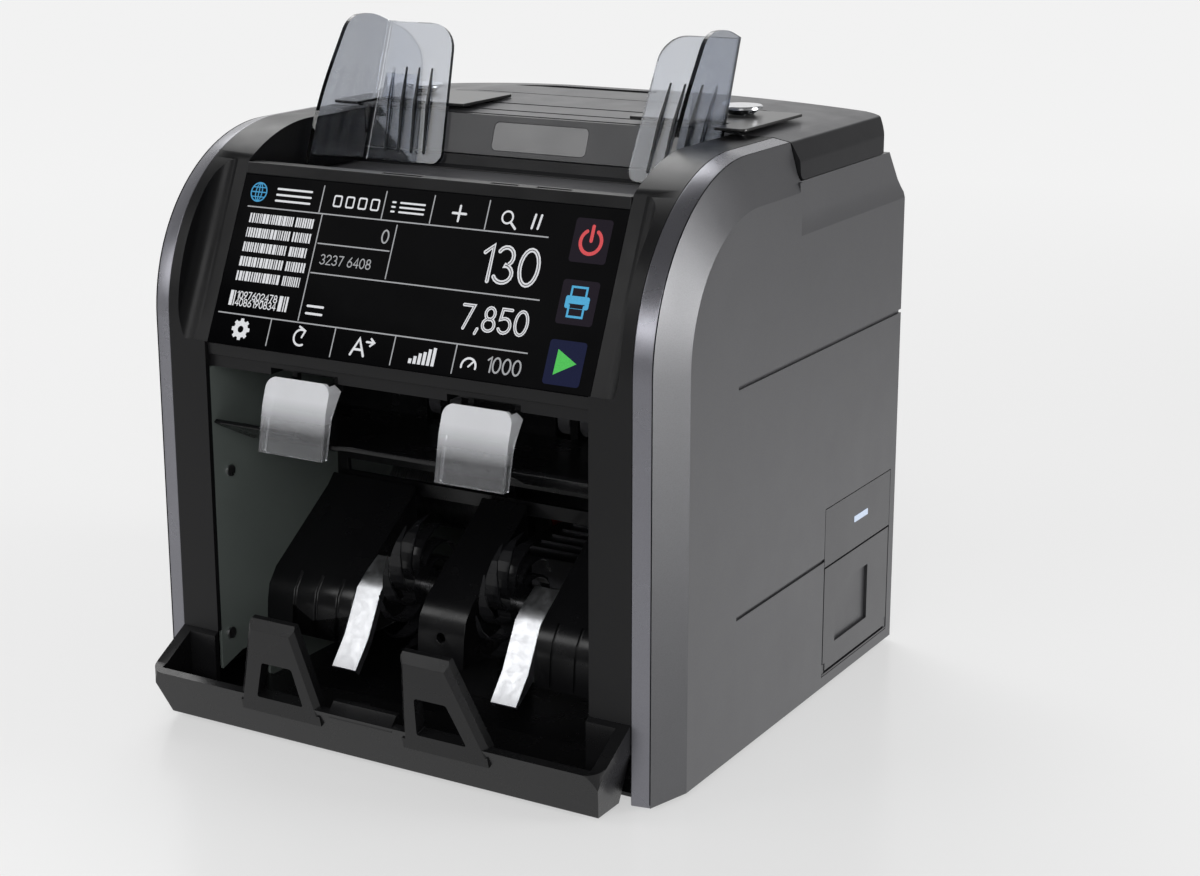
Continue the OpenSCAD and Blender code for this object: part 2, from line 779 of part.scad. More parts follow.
module note_fingers() color("silver") place() both_sides() finger_form();

module stacker_shaft() color("silver") place() {
    rod_x(shaft_r, -lane_a - lane_step, pocket_half + bearing_w + 1, stacker_c);
    pulley(stacker_pulley_r, 0, stacker_c);
}

// Curved side of a vane whose tip lies at angle a, from the hub out, its radius set out by off
function vane_side(a, off, n = 8) = [for (i = [0:n])
    let (t = i / n, r = hub_r - 1 + (wheel_r - hub_r + 1) * t + off * (1 - t))
    let (b = a + vane_sweep * pow(1 - t, 0.77)) r * [cos(b), sin(b)]];

module vane(a) {
    inner = vane_side(a, -vane_t);
    outer = vane_side(a, vane_t);
    polygon(concat(outer, [for (i = [len(inner) - 2:-1:0]) inner[i]]));
}

// Wheel of leaf-shaped vanes, whose width narrows to their tips
module stacker_wheel(x) translate([x, stacker_c.x, stacker_c.y]) rotate([90, 0, 90]) {
    intersection() {
        translate([0, 0, -wheel_w / 2]) linear_extrude(wheel_w)
            for (i = [0:vane_n - 1]) vane(first_vane + i * 360 / vane_n);
        rotate_extrude() polygon([[0, -wheel_w / 2], [wheel_r - 8, -wheel_w / 2], [wheel_r + 0.1, -0.3],
            [wheel_r + 0.1, 0.3], [wheel_r - 8, wheel_w / 2], [0, wheel_w / 2]]);
    }
    translate([0, 0, -wheel_w / 2]) difference() {
        cylinder(r = hub_r, h = wheel_w);
        translate([0, 0, -1]) cylinder(r = shaft_r, h = wheel_w + 2);
    }
}

module stacker_wheel_left() color([0.2, 0.2, 0.22]) place() stacker_wheel(-wheel_x);

module stacker_wheel_right() color([0.2, 0.2, 0.22]) place() stacker_wheel(wheel_x);

// Flanged pulley of radius r on lane n at the left end of a shaft
module pulley(r, n, c) {
    x = -lane_a - n * lane_step;
    rod_x(r, x - belt_w, x, c);
    rod_x(r + 1.6, x, x + 0.4, c);
    rod_x(r + 1.6, x - belt_w - 0.4, x - belt_w, c);
}

module tyres(r, w, spots, c) for (s = [-1, 1], x = spots) difference() {
    rod_x(r, s * x - w / 2, s * x + w / 2, c);
    rod_x(shaft_r, s * x - w / 2 - 1, s * x + w / 2 + 1, c);
}

module pickup_roller() color([0.25, 0.25, 0.26]) place() {
    rod_x(shaft_r, -lane_a - 2 * lane_step, pocket_half + bearing_w + 1, pickup_c);
    for (s = [-1, 1]) rod_x(pickup_r, s * pickup_x - pickup_w / 2, s * pickup_x + pickup_w / 2, pickup_c);
    pulley(shaft_pulley_r, 1, pickup_c);
}

module feed_shaft() color("silver") place() {
    rod_x(shaft_r, -lane_a - 2 * lane_step, pocket_half + bearing_w + 1, feed_c);
    pulley(shaft_pulley_r, 0, feed_c);
    pulley(shaft_pulley_r, 1, feed_c);
}

module feed_tyres() color([0.12, 0.12, 0.12]) place() tyres(feed_r, feed_w, feed_x, feed_c);

module transport_roller() color([0.25, 0.25, 0.26]) place() {
    rod_x(shaft_r, -lane_a - 3 * lane_step, pocket_half + bearing_w + 1, transport_c);
    for (s = [-1, 1], x = [30, 66]) rod_x(transport_r, s * x - 9, s * x + 9, transport_c);
    for (n = [0:2]) pulley(shaft_pulley_r, n, transport_c);
}

module reject_roller() color([0.25, 0.25, 0.26]) place() {
    rod_x(shaft_r, -lane_a - 2 * lane_step + 1, pocket_half + bearing_w + 1, reject_c);
    for (s = [-1, 1], x = reject_x) rod_x(reject_r, s * x - reject_w / 2, s * x + reject_w / 2, reject_c);
    pulley(shaft_pulley_r, 1, reject_c);
}

module retard_pad() color([0.3, 0.2, 0.15]) place()
    box([-24, throat_y, feed_c.y - 8], [24, throat_y + 5, feed_c.y + 8]);

// Straight wall of the feed path with the sloping sill behind the guides
module feed_throat() color([0.2, 0.2, 0.21]) place() {
    low = sensor_z + sensor_h;
    front = guide_gap;
    difference() {
        union() {
            box([-pocket_half, throat_y, low], [pocket_half, throat_y + wall, floor_z - 3.5]);
            along_x(-pocket_half, pocket_half)
                polygon([[throat_y, floor_z - 4], [throat_y + 1.5, floor_z],
                    [pane_back(floor_z + 1.5) + front, floor_z + 1.5], [pane_back(lid_z) + front, lid_z], [pane_back(lid_z) + front + wall, lid_z],
                    [throat_y + wall + 2, floor_z - 4]]);
        }
        box([-24, throat_y - 1, feed_c.y - 8], [24, throat_y + wall + 1, feed_c.y + 8]);
    }
}

module hopper_floor() color([0.3, 0.3, 0.31]) place() {
    t = floor_t;
    front = casing_h - 14;
    difference() {
        along_x(-pocket_half, pocket_half)
            polygon([[41.2, front], [45, front - 0.4], [56, floor_z + 1.4], [64, floor_z],
                [throat_y - 2.2, floor_z], [throat_y - 2.2, floor_z - t], [63, floor_z - t], [54, floor_z + 1.2 - t], [45, front - 4.4],
                [42.8, front - 4]]);
        for (s = [-1, 1]) translate([s * pickup_x, 0, 0])
            box([-pickup_w / 2 - 1, pickup_c.x - pickup_r - 1, floor_z - 20],
                [pickup_w / 2 + 1, pickup_c.x + pickup_r + 1, floor_z + 20]);
    }
}

module image_sensor_front() color([0.12, 0.14, 0.13]) place()
    box([-pocket_half, throat_y - 13.2, sensor_z], [pocket_half, throat_y - 1.2, sensor_z + sensor_h]);

module image_sensor_rear() color([0.12, 0.14, 0.13]) place()
    box([-pocket_half, throat_y + 1.2, sensor_z], [pocket_half, throat_y + 13.2, sensor_z + sensor_h]);

module drive_motor() color([0.5, 0.5, 0.52]) place() {
    rod_x(motor_r, -pocket_half, -pocket_half + motor_len, motor_c);
    rod_x(motor_shaft_r + 2, -pocket_half - plate_t, -pocket_half, motor_c);
    rod_x(5, -pocket_half + motor_len, -pocket_half + motor_len + 4, motor_c);
}

module motor_pulley() color("silver") place() {
    for (n = [0, 2]) pulley(motor_pulley_r, n, motor_c);
    rod_x(motor_shaft_r, -lane_a - 3 * lane_step, -pocket_half - plate_t - 0.3, motor_c);
}

// Points on a circle of radius r round c, from angle f to angle g
function bow(c, r, f, g, n = 24) = [for (i = [0:n]) let (w = f + (g - f) * i / n) c + r * [cos(w), sin(w)]];

// Closed belt outline round two pulleys, as (Y, Z)
module belt_outline(a, ra, b, rb) {
    d = b - a;
    turn = atan2(d.y, d.x);
    lean = acos((ra - rb) / norm(d));
    polygon(concat(bow(a, ra, turn + lean, turn + 360 - lean), bow(b, rb, turn - lean, turn + lean)));
}

module belt(a, ra, b, rb, n) {
    x = -lane_a - n * lane_step;
    along_x(x - belt_w + 0.3, x - 0.3) difference() {
        belt_outline(a, ra + belt_gap + belt_t, b, rb + belt_gap + belt_t);
        belt_outline(a, ra + belt_gap, b, rb + belt_gap);
    }
}

module drive_belts() color([0.1, 0.1, 0.1]) place() {
    belt(motor_c, motor_pulley_r, stacker_c, stacker_pulley_r, 0);
    belt(motor_c, motor_pulley_r, transport_c, shaft_pulley_r, 2);
    belt(transport_c, shaft_pulley_r, feed_c, shaft_pulley_r, 0);
    belt(feed_c, shaft_pulley_r, pickup_c, shaft_pulley_r, 1);
    belt(transport_c, shaft_pulley_r, reject_c, shaft_pulley_r, 1);
}

// Display housing: side outline with a seat for the glass
module display_housing() color([0.14, 0.14, 0.15]) place() {
    rim = casing_h - 12.5;
    slots = [[-26, -6], [28, 41], [50, 66]];
    difference() {
        along_x(-pocket_half, pocket_half)
            polygon([[1.9, header_top], at_glass(0, 0), at_glass(0, glass_t), at_glass(glass_h, glass_t),
                at_glass(glass_h, 0), [34.2, rim], [40.2, rim], [42.2, rim - 6], at_glass(glass_h - 8, display_t),
                at_glass(4, display_t), [19, header_top]]);
        for (s = slots) box([s[0], 36, rim - 2.5], [s[1], 38.4, rim + 1]);
    }
}

module display_glass() color([0.02, 0.02, 0.03]) place() on_glass()
    box([-pocket_half, 0, 0], [pocket_half, glass_t, glass_h]);

// Shell form of the lid, drawn in by e: side outline, crowned section and plan
module lid_body(e) {
    low = [lid_front + lid_gap + e, lid_z + lid_gap - (e > 0 ? 5 : 0)];
    crown_r = (trim_x * trim_x / deck_rise + deck_rise) / 2;
    intersection() {
        along_x(-half_w + e, half_w - e)
            polygon(rounded([low, [lid_rear - e, low.y], [lid_rear - e, deck_z(lid_rear) - e],
                [low.x, deck_z(low.x) - e]],
                [e > 0 ? 0 : lid_corner - lid_gap, e > 0 ? 0 : hinge_boss, 8 - e, 0.5]));
        along_y(lid_front, casing_d) intersection() {
            polygon(rounded([[-half_w + e, lid_z - 10], [half_w - e, lid_z - 10],
                [half_w - 1.2 - e, casing_h - 7.5], [seam_x - e * 0.8, casing_h - e * 0.8],
                [trim_x - e * 0.3, lid_top - e], [trim_x - 6, lid_top + 10], [6 - trim_x, lid_top + 10],
                [e * 0.3 - trim_x, lid_top - e], [e * 0.8 - seam_x, casing_h - e * 0.8],
                [e + 1.2 - half_w, casing_h - 7.5]], [0, 0, 4, 2, 0, 0, 0, 0, 2, 4]));
            translate([0, lid_top + deck_rise - crown_r]) circle(crown_r - e, $fn = 720);
        }
        linear_extrude(400) round_rect([-half_w + e, 0], [half_w - e, lid_rear - e], 14 - e);
    }
}

// Sheet that leans like the guides, between two distances behind their panes
module leaning_wedge(x, d0, d1, z0, z1) along_x(-x, x)
    polygon([[pane_back(z0) + d0, z0], [pane_back(z0) + d1, z0],
        [pane_back(z1) + d1, z1], [pane_back(z1) + d0, z1]]);

module top_lid() color([0.4, 0.4, 0.41]) place() difference() {
    union() {
        lid_shell();
        both_sides() for (x = [ear_x - ear_w / 2 - lid_gap - boss_w, ear_x + ear_w / 2 + lid_gap])
            rod_x(hinge_boss - 0.3, x, x + boss_w, [hinge_y, hinge_z]);
    }
    both_sides()
        rod_x(hinge_r + run_gap, ear_x - ear_w / 2 - boss_w - 1, ear_x + ear_w / 2 + boss_w + 1,
            [hinge_y, hinge_z]);
}

module lid_shell() {
    wall_back = guide_gap + wall;
    difference() {
        lid_body(0);
        difference() {
            lid_body(wall);
            // Cheek walls beside the hopper, and the seat of its back wall
            both_sides()
                box([pocket_half, lid_front - 5, lid_z - 20], [pocket_half + wall, lid_front + 22, lid_top]);
        }
        leaning_wedge(pocket_half, -60, wall_back, lid_z - 20, lid_top + 20);
        both_sides() {
            // Slot for the stem of the guide's lock knob
            box([knob_x - guide_travel - slot_half, knob_y - slot_half, lid_top - wall - 1],
                [knob_x + slot_half, knob_y + slot_half, lid_top + deck_rise + 1]);
            // Notch for the hinge ear
            box([ear_x - ear_w / 2 - lid_gap, hinge_y - hinge_boss - 2, lid_z - 5],
                [ear_x + ear_w / 2 + lid_gap, lid_rear + 1, hinge_z + hinge_boss + 0.6]);
        }
        deck_lines();
    }
}

// Frame of the deck: Y back along its slope, Z square to it
module on_deck() translate([0, lid_front, lid_top])
    rotate([atan(deck_rise / (lid_rear - lid_front)), 0, 0]) children();

// Lines and slots sunk into the deck
module deck_lines() {
    inset = trim_x + line_w / 2;
    back = lid_rear - lid_front - 8;
    on_deck() translate([0, 0, -line_t]) linear_extrude(10) {
        // Rail line near the front, and the line in which the knobs run
        translate([-pocket_half, 16]) square([2 * pocket_half, 2 * line_w]);
        translate([-knob_x + guide_travel, knob_y - lid_front - line_w])
            square([2 * (knob_x - guide_travel), 2 * line_w]);
        // Seam across the deck
        translate([-inset, 60]) square([2 * inset, line_w]);
        // Grip slot
        translate([-grip_w / 2 + 15, back - 9]) round_rect([-grip_w / 2, 0], [grip_w / 2, 5], 2);
    }
    // Seam between the deck and the shoulders, sunk below the shoulders' edge
    translate([0, 0, lid_top - line_t]) linear_extrude(20) difference() {
        round_rect([-inset, lid_front - 20], [inset, lid_front + back], 9);
        round_rect([-inset + line_w, lid_front - 21], [inset - line_w, lid_front + back - line_w], 9 - line_w);
        translate([-inset + 10, lid_front]) square([2 * inset - 20, 200]);
    }
}

module lid_hinge_pin() color("silver") place() both_sides()
    rod_x(hinge_r, ear_x - ear_w / 2 - boss_w, ear_x + ear_w / 2 + boss_w, [hinge_y, hinge_z]);

module hopper_back_wall() color([0.3, 0.3, 0.31]) place() difference() {
    leaning_wedge(pocket_half, guide_gap, guide_gap + wall, lid_z + lid_gap, lid_top);
    window_cut(0);
}

// Window plate form, e smaller all round
module window_cut(e) {
    half = 24.5;
    intersection() {
        leaning_wedge(half + 1, guide_gap - 3 * (1 - e), guide_gap + 1.5, lid_z, lid_top + 5);
        along_y(lid_front - 12, lid_front + 28) round_rect([-half, lid_z + 2.8], [half, lid_top - 2.6], 2.5);
    }
}

module hopper_window() color([0.05, 0.05, 0.06]) place() window_cut(1);

module rear_cover() color([0.4, 0.4, 0.41]) place() {
    ledge = 14;
    difference() {
        along_x(-seam_x, seam_x)
            polygon([[casing_d - wall, 1.6], [casing_d, 1.6], [casing_d, chamfer_z], [lid_rear, lid_z],
                [lid_rear - ledge, lid_z], [lid_rear - ledge, lid_z - wall], [lid_rear - 1.4, lid_z - wall],
                [casing_d - wall, chamfer_z - 1]]);
        // Vent slots
        for (i = [0:9]) box([40, casing_d - wall - 1, 120 + i * 7], [95, casing_d + 1, 123 + i * 7]);
        rear_openings();
    }
    both_sides() difference() {
        union() {
            rod_x(hinge_boss, ear_x - ear_w / 2, ear_x + ear_w / 2, [hinge_y, hinge_z]);
            box([ear_x - ear_w / 2, hinge_y - hinge_boss, lid_z - 1],
                [ear_x + ear_w / 2, hinge_y + hinge_boss, hinge_z]);
        }
        rod_x(hinge_r, ear_x - ear_w, ear_x + ear_w, [hinge_y, hinge_z]);
    }
    // Lugs of the rocker
    for (s = [-1, 1]) translate([rocker_x + s * (rocker_w / 2 + 1.5), 0, 0]) difference() {
        box([-0.9, rocker_c.x - 3, inlet_z - 3], [0.9, casing_d - wall + 0.4, inlet_z + 3]);
        rod_x(1.5 + run_gap, -2, 2, rocker_c);
    }
}

module rear_openings() {
    box([inlet_x - 14, casing_d - wall - 1, inlet_z - 10], [inlet_x + 14, casing_d + 1, inlet_z + 10]);
    box([rocker_x - rocker_w / 2 - 0.4, casing_d - wall - 1, inlet_z - rocker_h / 2 - 0.9],
        [rocker_x + rocker_w / 2 + 0.4, casing_d + 1, inlet_z + rocker_h / 2 + 0.9]);
    for (p = ports) box([p[0] - p[1] / 2 - 0.3, casing_d - wall - 1, port_z - p[2] / 2 - 0.3],
        [p[0] + p[1] / 2 + 0.3, casing_d + 1, port_z + p[2] / 2 + 0.3]);
}

module main_board() color([0.05, 0.3, 0.15]) place() {
    half = board.x / 2;
    low = port_z - 22;
    face = board_y - board_t;
    box([-half, face, low], [half, board_y, low + board.y]);
    for (p = ports)
        box([p[0] - p[1] / 2, board_y, port_z - p[2] / 2],
            [p[0] + p[1] / 2, casing_d - 0.3, port_z + p[2] / 2]);
    for (x = [-half + 6, half - 6], z = [low + 6, low + board.y - 6]) rod_y(3, board_y, casing_d - wall, x, z);
    // Processor and transformer
    box([-30, face - 3.4, low + 40], [-8, face, low + 62]);
    box([10, face - 7.4, low + 70], [34, face, low + 86]);
}

module power_supply() color([0.6, 0.6, 0.6]) place() translate(supply_low) {
    cube(supply);
    for (y = [10:10:supply.y - 8]) translate([8, y, supply.z]) cube([supply.x - 16, 2, 1]);
}

module power_inlet() color([0.08, 0.08, 0.08]) place() difference() {
    union() {
        box([inlet_x - 14, casing_d - wall - 22, inlet_z - 10], [inlet_x + 14, casing_d, inlet_z + 10]);
        along_y(casing_d, casing_d + inlet_flange)
            round_rect([inlet_x - 24, inlet_z - 13], [inlet_x + 24, inlet_z + 13], 6);
    }
    along_y(casing_d - 16, casing_d + 5)
        polygon([[inlet_x - 12, inlet_z - 8], [inlet_x + 12, inlet_z - 8], [inlet_x + 12, inlet_z + 3],
            [inlet_x + 7, inlet_z + 8], [inlet_x - 7, inlet_z + 8], [inlet_x - 12, inlet_z + 3]]);
}

// Rocker on its trunnions
module power_rocker() color([0.6, 0.05, 0.05]) place() {
    face = casing_d + 1;
    along_x(rocker_x - rocker_w / 2, rocker_x + rocker_w / 2)
        polygon([[rocker_c.x - 1.5, rocker_c.y - 4], [face, rocker_c.y - rocker_h / 2 + 0.5],
            [face - 1, rocker_c.y], [face, rocker_c.y + rocker_h / 2 - 0.5], [rocker_c.x - 1.5, rocker_c.y + 4]]);
    rod_x(1.5, rocker_x - rocker_w / 2 - 2.4, rocker_x + rocker_w / 2 + 2.4, rocker_c);
}

// Frame of the guide's rear pane: X across, Y behind its front face, Z up the slope
module on_pane() translate([0, guide_y, guide_z]) rotate([-guide_lean, 0, 0]) children();

// Section of the guide: rear pane, round fold and side pane
module guide_plan() {
    side_len = 70;
    translate([guide_x - pane_w, 0]) square([pane_w + guide_t - fold_r, guide_t]);
    translate([guide_x, -side_len]) square([guide_t, side_len + guide_t - fold_r]);
    translate([guide_x + guide_t - fold_r, guide_t - fold_r]) intersection() {
        difference() {
            circle(fold_r);
            circle(fold_r - guide_t);
        }
        square(fold_r);
    }
}

// Clear L-shaped guide with upright ribs, drawn on the right
module guide_form() {
    top_z = guide_z + guide_h * cos(guide_lean);
    x0 = guide_x - pane_w;
    x1 = guide_x + guide_t;
    fold_x = x1 - fold_r;
    intersection() {
        on_pane() translate([0, 0, -30]) linear_extrude(guide_h + 70) guide_plan();
        // Side outline: bowed front edge and a rounded hump above the rear pane
        along_x(x0 - 1, x1 + 1)
            polygon(rounded([[guide_y - 44, guide_z], [pane_back(guide_z) + 3, guide_z],
                [pane_back(top_z) + 3, top_z], [pane_back(top_z) - guide_t, top_z],
                [guide_y + 9, top_z + 5], [guide_y - 8.2, top_z + 4.8], [guide_y - 35.4, guide_z + 26.6]],
                [2, 0, 0, 0, 36, 14, 160]));
        // Rear outline: leaning inner edge with round corners
        on_pane() along_y(-90, 20)
            polygon(rounded([[x0, 0], [fold_x - 4, 0], [fold_x - 4, -20], [x1 + 1, -20],
                [x1 + 1, guide_h + 40], [fold_x, guide_h + 40], [fold_x, guide_h],
                [x0 + pane_taper, guide_h]], [5, 0, 0, 0, 0, 0, 0, 13]));
    }
    for (i = [0:3]) on_pane() translate([x0 + 9 + 7 * i, 0, 0])
        rotate([0, atan(pane_taper / guide_h), 0]) along_x(0, 1)
            polygon([[0.2, 4], [-0.7, 5], [-1, 12], [-2, 27], [0.2, 46]]);
}

module note_guide_left() color([0.4, 0.42, 0.45, 0.5]) place() mirror([1, 0, 0]) guide_form();

module note_guide_right() color([0.4, 0.42, 0.45, 0.5]) place() guide_form();

// Slider plate that carries a guide over the deck, drawn on the right
module slider_form() {
    top = slider_z + slider_t;
    inner = knob_x - 40;
    outer = pocket_half + 11;
    peg = [outer - 7, guide_y + 9.5];
    difference() {
        union() {
            // Plate with an arm that reaches forward beside the guide
            translate([0, 0, slider_z]) linear_extrude(slider_t) difference() {
                round_rect([inner, guide_y - 3], [outer, slider_back], 2.5);
                translate([inner - 1, 0]) square([guide_x + guide_t + 1.3 - inner, pane_back(top) + 0.3]);
            }
            // Riser against the back of the guide
            along_x(knob_x - 12, guide_x + guide_t - fold_r)
                polygon([[pane_back(slider_z), slider_z], [pane_back(top + 11), top + 11],
                    [pane_back(top + 11) + 1.6, top + 11], [pane_back(top) + 5, top],
                    [pane_back(slider_z) + 6, slider_z]]);
            translate([peg.x, peg.y, deck_z(peg.y) + 0.3])
                cylinder(r = 1.2, h = slider_z + 0.5 - deck_z(peg.y) - 0.3);
        }
        translate([knob_x, knob_y, slider_z - 1]) cylinder(r = stem_r + run_gap, h = slider_t + 2);
    }
}

module guide_slider_left() color([0.1, 0.1, 0.1]) place() mirror([1, 0, 0]) slider_form();

module guide_slider_right() color([0.1, 0.1, 0.1]) place() slider_form();

// Flat lock knob with its stem and the nut below the deck, drawn on the right
module knob_form() translate([knob_x, knob_y, 0]) {
    base = slider_z + slider_t + 0.3;
    nut_top = deck_z(knob_y - nut_r) - wall - 0.3;
    translate([0, 0, base]) {
        cylinder(r1 = knob_r - 3.6, r2 = knob_r - 0.9, h = 2.4);
        translate([0, 0, 2.4]) cylinder(r = knob_r, h = 0.9);
        translate([0, 0, 3.3]) cylinder(r1 = knob_r, r2 = knob_r - 0.4, h = 0.4);
    }
    translate([0, 0, nut_top - 3.5]) cylinder(r = stem_r, h = base + 0.5 - nut_top + 3.5);
    translate([0, 0, nut_top - 3]) cylinder(r = nut_r, h = 3);
}

module guide_knob_left() color("silver") place() mirror([1, 0, 0]) knob_form();

module guide_knob_right() color("silver") place() knob_form();

// Frame round the printer: upper panel, seat behind the door and the two hinge ears
module printer_frame() color([0.1, 0.1, 0.11]) place() {
    x0 = half_w - printer_t;
    low = printer_low + sill;
    high = door_top + 0.9;
    difference() {
        union() {
            difference() {
                along_x(x0, half_w) translate([printer_y, printer_low])
                    square([printer_w, printer_top - printer_low]);
                box([half_w - 2.6, printer_y - 1, low], [half_w + 1, printer_back + 1, high]);
            }
            for (y = [printer_y, printer_back - rail])
                box([x0, y, printer_low], [half_w - 0.3, y + rail, door_axis.y + ear_h]);
        }
        box([x0 - 1, printer_y + rail, low], [half_w + 1, printer_back - rail, high]);
        lens_form();
        rod_y(trunnion_r + run_gap, printer_y - 1, printer_back + 1, door_axis.x, door_axis.y);
    }
}

module lens_form()
    box([half_w - 2.5, printer_y + 32, printer_top - 14.5],
        [half_w + 0.3, printer_y + 46.7, printer_top - 11.8]);

module status_lens() color("white") place() lens_form();

module printer_door() color([0.1, 0.1, 0.11]) place() {
    y0 = printer_y + 0.5;
    y1 = printer_back - 0.5;
    difference() {
        box([half_w - 2.3, y0, door_axis.y - 1], [half_w, y1, door_top]);
        // Shallow latch recess
        box([half_w - 1.4, printer_y + 13, door_axis.y + 10], [half_w + 1, printer_y + 49, door_top - 11.5]);
        // Notches round the hinge ears
        for (y = [printer_y - 1, printer_back - rail - door_gap])
            box([half_w - 3, y, 0], [half_w + 1, y + rail + door_gap + 1, door_axis.y + ear_h + door_gap]);
    }
    for (y = [printer_y + 0.3, printer_back - rail - door_gap - 2])
        rod_y(trunnion_r, y, y + rail + door_gap + 1.7, door_axis.x, door_axis.y);
    for (y = [y0 + rail + 1, y1 - rail - 3]) difference() {
        union() {
            rod_y(3.2, y, y + 2, platen_c.x, platen_c.y);
            box([platen_c.x, y, platen_c.y - 2.5], [half_w - 2, y + 2, platen_c.y + 2.5]);
        }
        rod_y(pivot_r + run_gap, y - 1, y + 3, platen_c.x, platen_c.y);
    }
}

module printer_bin() color([0.2, 0.2, 0.2]) place() {
    x1 = half_w - printer_t;
    y0 = printer_y + rail - bin_t;
    y1 = printer_back - rail + bin_t;
    middle = (y0 + y1) / 2;
    for (y = [y0, y1 - bin_t]) box([bin_x, y, bin_floor - bin_t], [x1, y + bin_t, printer_top - 2]);
    box([bin_x, y0, bin_floor - bin_t], [bin_x + bin_t, y1, printer_top - 2]);
    box([bin_x, y0, bin_floor - bin_t], [x1, y1, bin_floor]);
    // Print head on its bracket
    box([platen_c.x - platen_r - 9, middle - 31, door_top - 9],
        [platen_c.x - platen_r - 0.4, middle + 31, door_top + 3]);
    box([bin_x, y0, door_top + 3], [x1, y1, door_top + 5]);
    // Hubs for the paper roll
    rod_y(paper_core_r - 0.3, y0, middle - paper_w / 2 + 5, paper_c.x, paper_c.y);
    rod_y(paper_core_r - 0.3, middle + paper_w / 2 - 5, y1, paper_c.x, paper_c.y);
}

module platen_roller() color([0.1, 0.1, 0.1]) place() {
    y0 = printer_y + rail + 1.7;
    y1 = printer_back - rail - 1.7;
    rod_y(platen_r, y0 + 2.6, y1 - 2.6, platen_c.x, platen_c.y);
    rod_y(pivot_r, y0, y1, platen_c.x, platen_c.y);
}

module paper_roll() color("white") place() {
    middle = printer_y + printer_w / 2;
    difference() {
        rod_y(paper_r, middle - paper_w / 2, middle + paper_w / 2, paper_c.x, paper_c.y);
        rod_y(paper_core_r, middle - paper_w, middle + paper_w, paper_c.x, paper_c.y);
    }
}

module case_screws() color("silver") place() both_sides()
    for (c = [[13, header_z - 49.6], [8.7, rim_back_z - 3.1]]) rod_x(2.6, pocket_half - 1, pocket_half, c);

base_plate();
feet();
side_cover_left();
side_cover_right();
trim_strip_left();
trim_strip_right();
front_frame();
rear_cover();
top_lid();
lid_hinge_pin();
hopper_back_wall();
hopper_window();
display_housing();
display_glass();
note_tray();
hopper_floor();
feed_throat();
chassis_plate_left();
chassis_plate_right();
cross_rods();
bearing_set();
reject_shelf();
pocket_back_panel();
reject_stop_left();
reject_stop_right();
stacker_block_left();
stacker_block_middle();
stacker_block_right();
note_fingers();
stacker_shaft();
stacker_wheel_left();
stacker_wheel_right();
pickup_roller();
feed_shaft();
feed_tyres();
retard_pad();
transport_roller();
reject_roller();
image_sensor_front();
image_sensor_rear();
drive_motor();
motor_pulley();
drive_belts();
main_board();
power_supply();
note_guide_left();
note_guide_right();
guide_slider_left();
guide_slider_right();
guide_knob_left();
guide_knob_right();
printer_frame();
printer_door();
printer_bin();
platen_roller();
paper_roll();
status_lens();
power_inlet();
power_rocker();
case_screws();
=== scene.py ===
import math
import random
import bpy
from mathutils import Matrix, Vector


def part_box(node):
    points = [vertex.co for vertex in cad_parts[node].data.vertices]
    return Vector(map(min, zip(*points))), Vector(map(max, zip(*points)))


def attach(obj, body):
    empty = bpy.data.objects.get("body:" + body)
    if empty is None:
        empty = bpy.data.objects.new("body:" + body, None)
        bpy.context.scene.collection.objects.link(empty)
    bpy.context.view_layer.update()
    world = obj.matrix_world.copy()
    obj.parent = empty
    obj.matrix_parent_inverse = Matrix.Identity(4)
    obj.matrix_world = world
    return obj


bl_info = {
    "name": "Banknote counter looks",
    "version": (1, 0, 0),
    "blender": (4, 5, 0),
    "location": "View3D > Sidebar > Counter",
    "description": "Finishes, screen graphics and small fittings of a desktop banknote counter",
    "category": "Object",
}

import bmesh
import bpy
from mathutils import Matrix, Vector

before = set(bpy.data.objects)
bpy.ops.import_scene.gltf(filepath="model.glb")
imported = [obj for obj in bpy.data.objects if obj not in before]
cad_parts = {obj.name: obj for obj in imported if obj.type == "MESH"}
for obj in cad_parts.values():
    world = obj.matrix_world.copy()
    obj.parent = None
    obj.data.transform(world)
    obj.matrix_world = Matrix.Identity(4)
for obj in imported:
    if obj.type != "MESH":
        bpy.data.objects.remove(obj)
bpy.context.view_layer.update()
MM = 0.001

# Grain of the mouldings, as moulded() takes it
FINE_GRAIN = {"grain": 1100.0, "depth": 0.02 * MM, "spread": 0.1}
LID_GRAIN = {"grain": 1000.0, "depth": 0.02 * MM, "spread": 0.05}
SMOOTH = {"grain": 600.0, "depth": 0.01 * MM, "spread": 0.1}
EVEN = (1, 1, 1)

# Seam between a trim strip and its cover, drawn as a line of painted shade: it follows the arch of the
# cover's front
SEAM_X = 122.3 * MM
SEAM_FOOT = 4 * MM
SEAM_END = 0.4 * MM
SEAM_WIDTH = 0.56 * MM
SEAM_LIFT = 0.05 * MM
ARCH_R = 78 * MM

# Back of the main board, and outer faces of the sockets on it
BOARD_FACE = 115.35 * MM
SOCKET_FACE = 131.95 * MM

# Clear upper part of a guide's slider, and where a guide folds back
CLEAR_RISE = 10.9 * MM
GUIDE_FOLD = 80 * MM

# Points of flat pieces closer than this are one
SAME_POINT = 0.0001 * MM


# Materials


def grey(v):
    return (v, v, v, 1.0)


def shade(colour, factor):
    return tuple(min(1.0, c * factor) for c in colour[:3]) + (1.0,)


def new_material(name):
    mat = bpy.data.materials.new(name)
    mat.use_nodes = True
    tree = mat.node_tree
    tree.nodes.clear()
    out = tree.nodes.new("ShaderNodeOutputMaterial")
    shader = tree.nodes.new("ShaderNodeBsdfPrincipled")
    tree.links.new(shader.outputs["BSDF"], out.inputs["Surface"])
    return mat, tree, shader


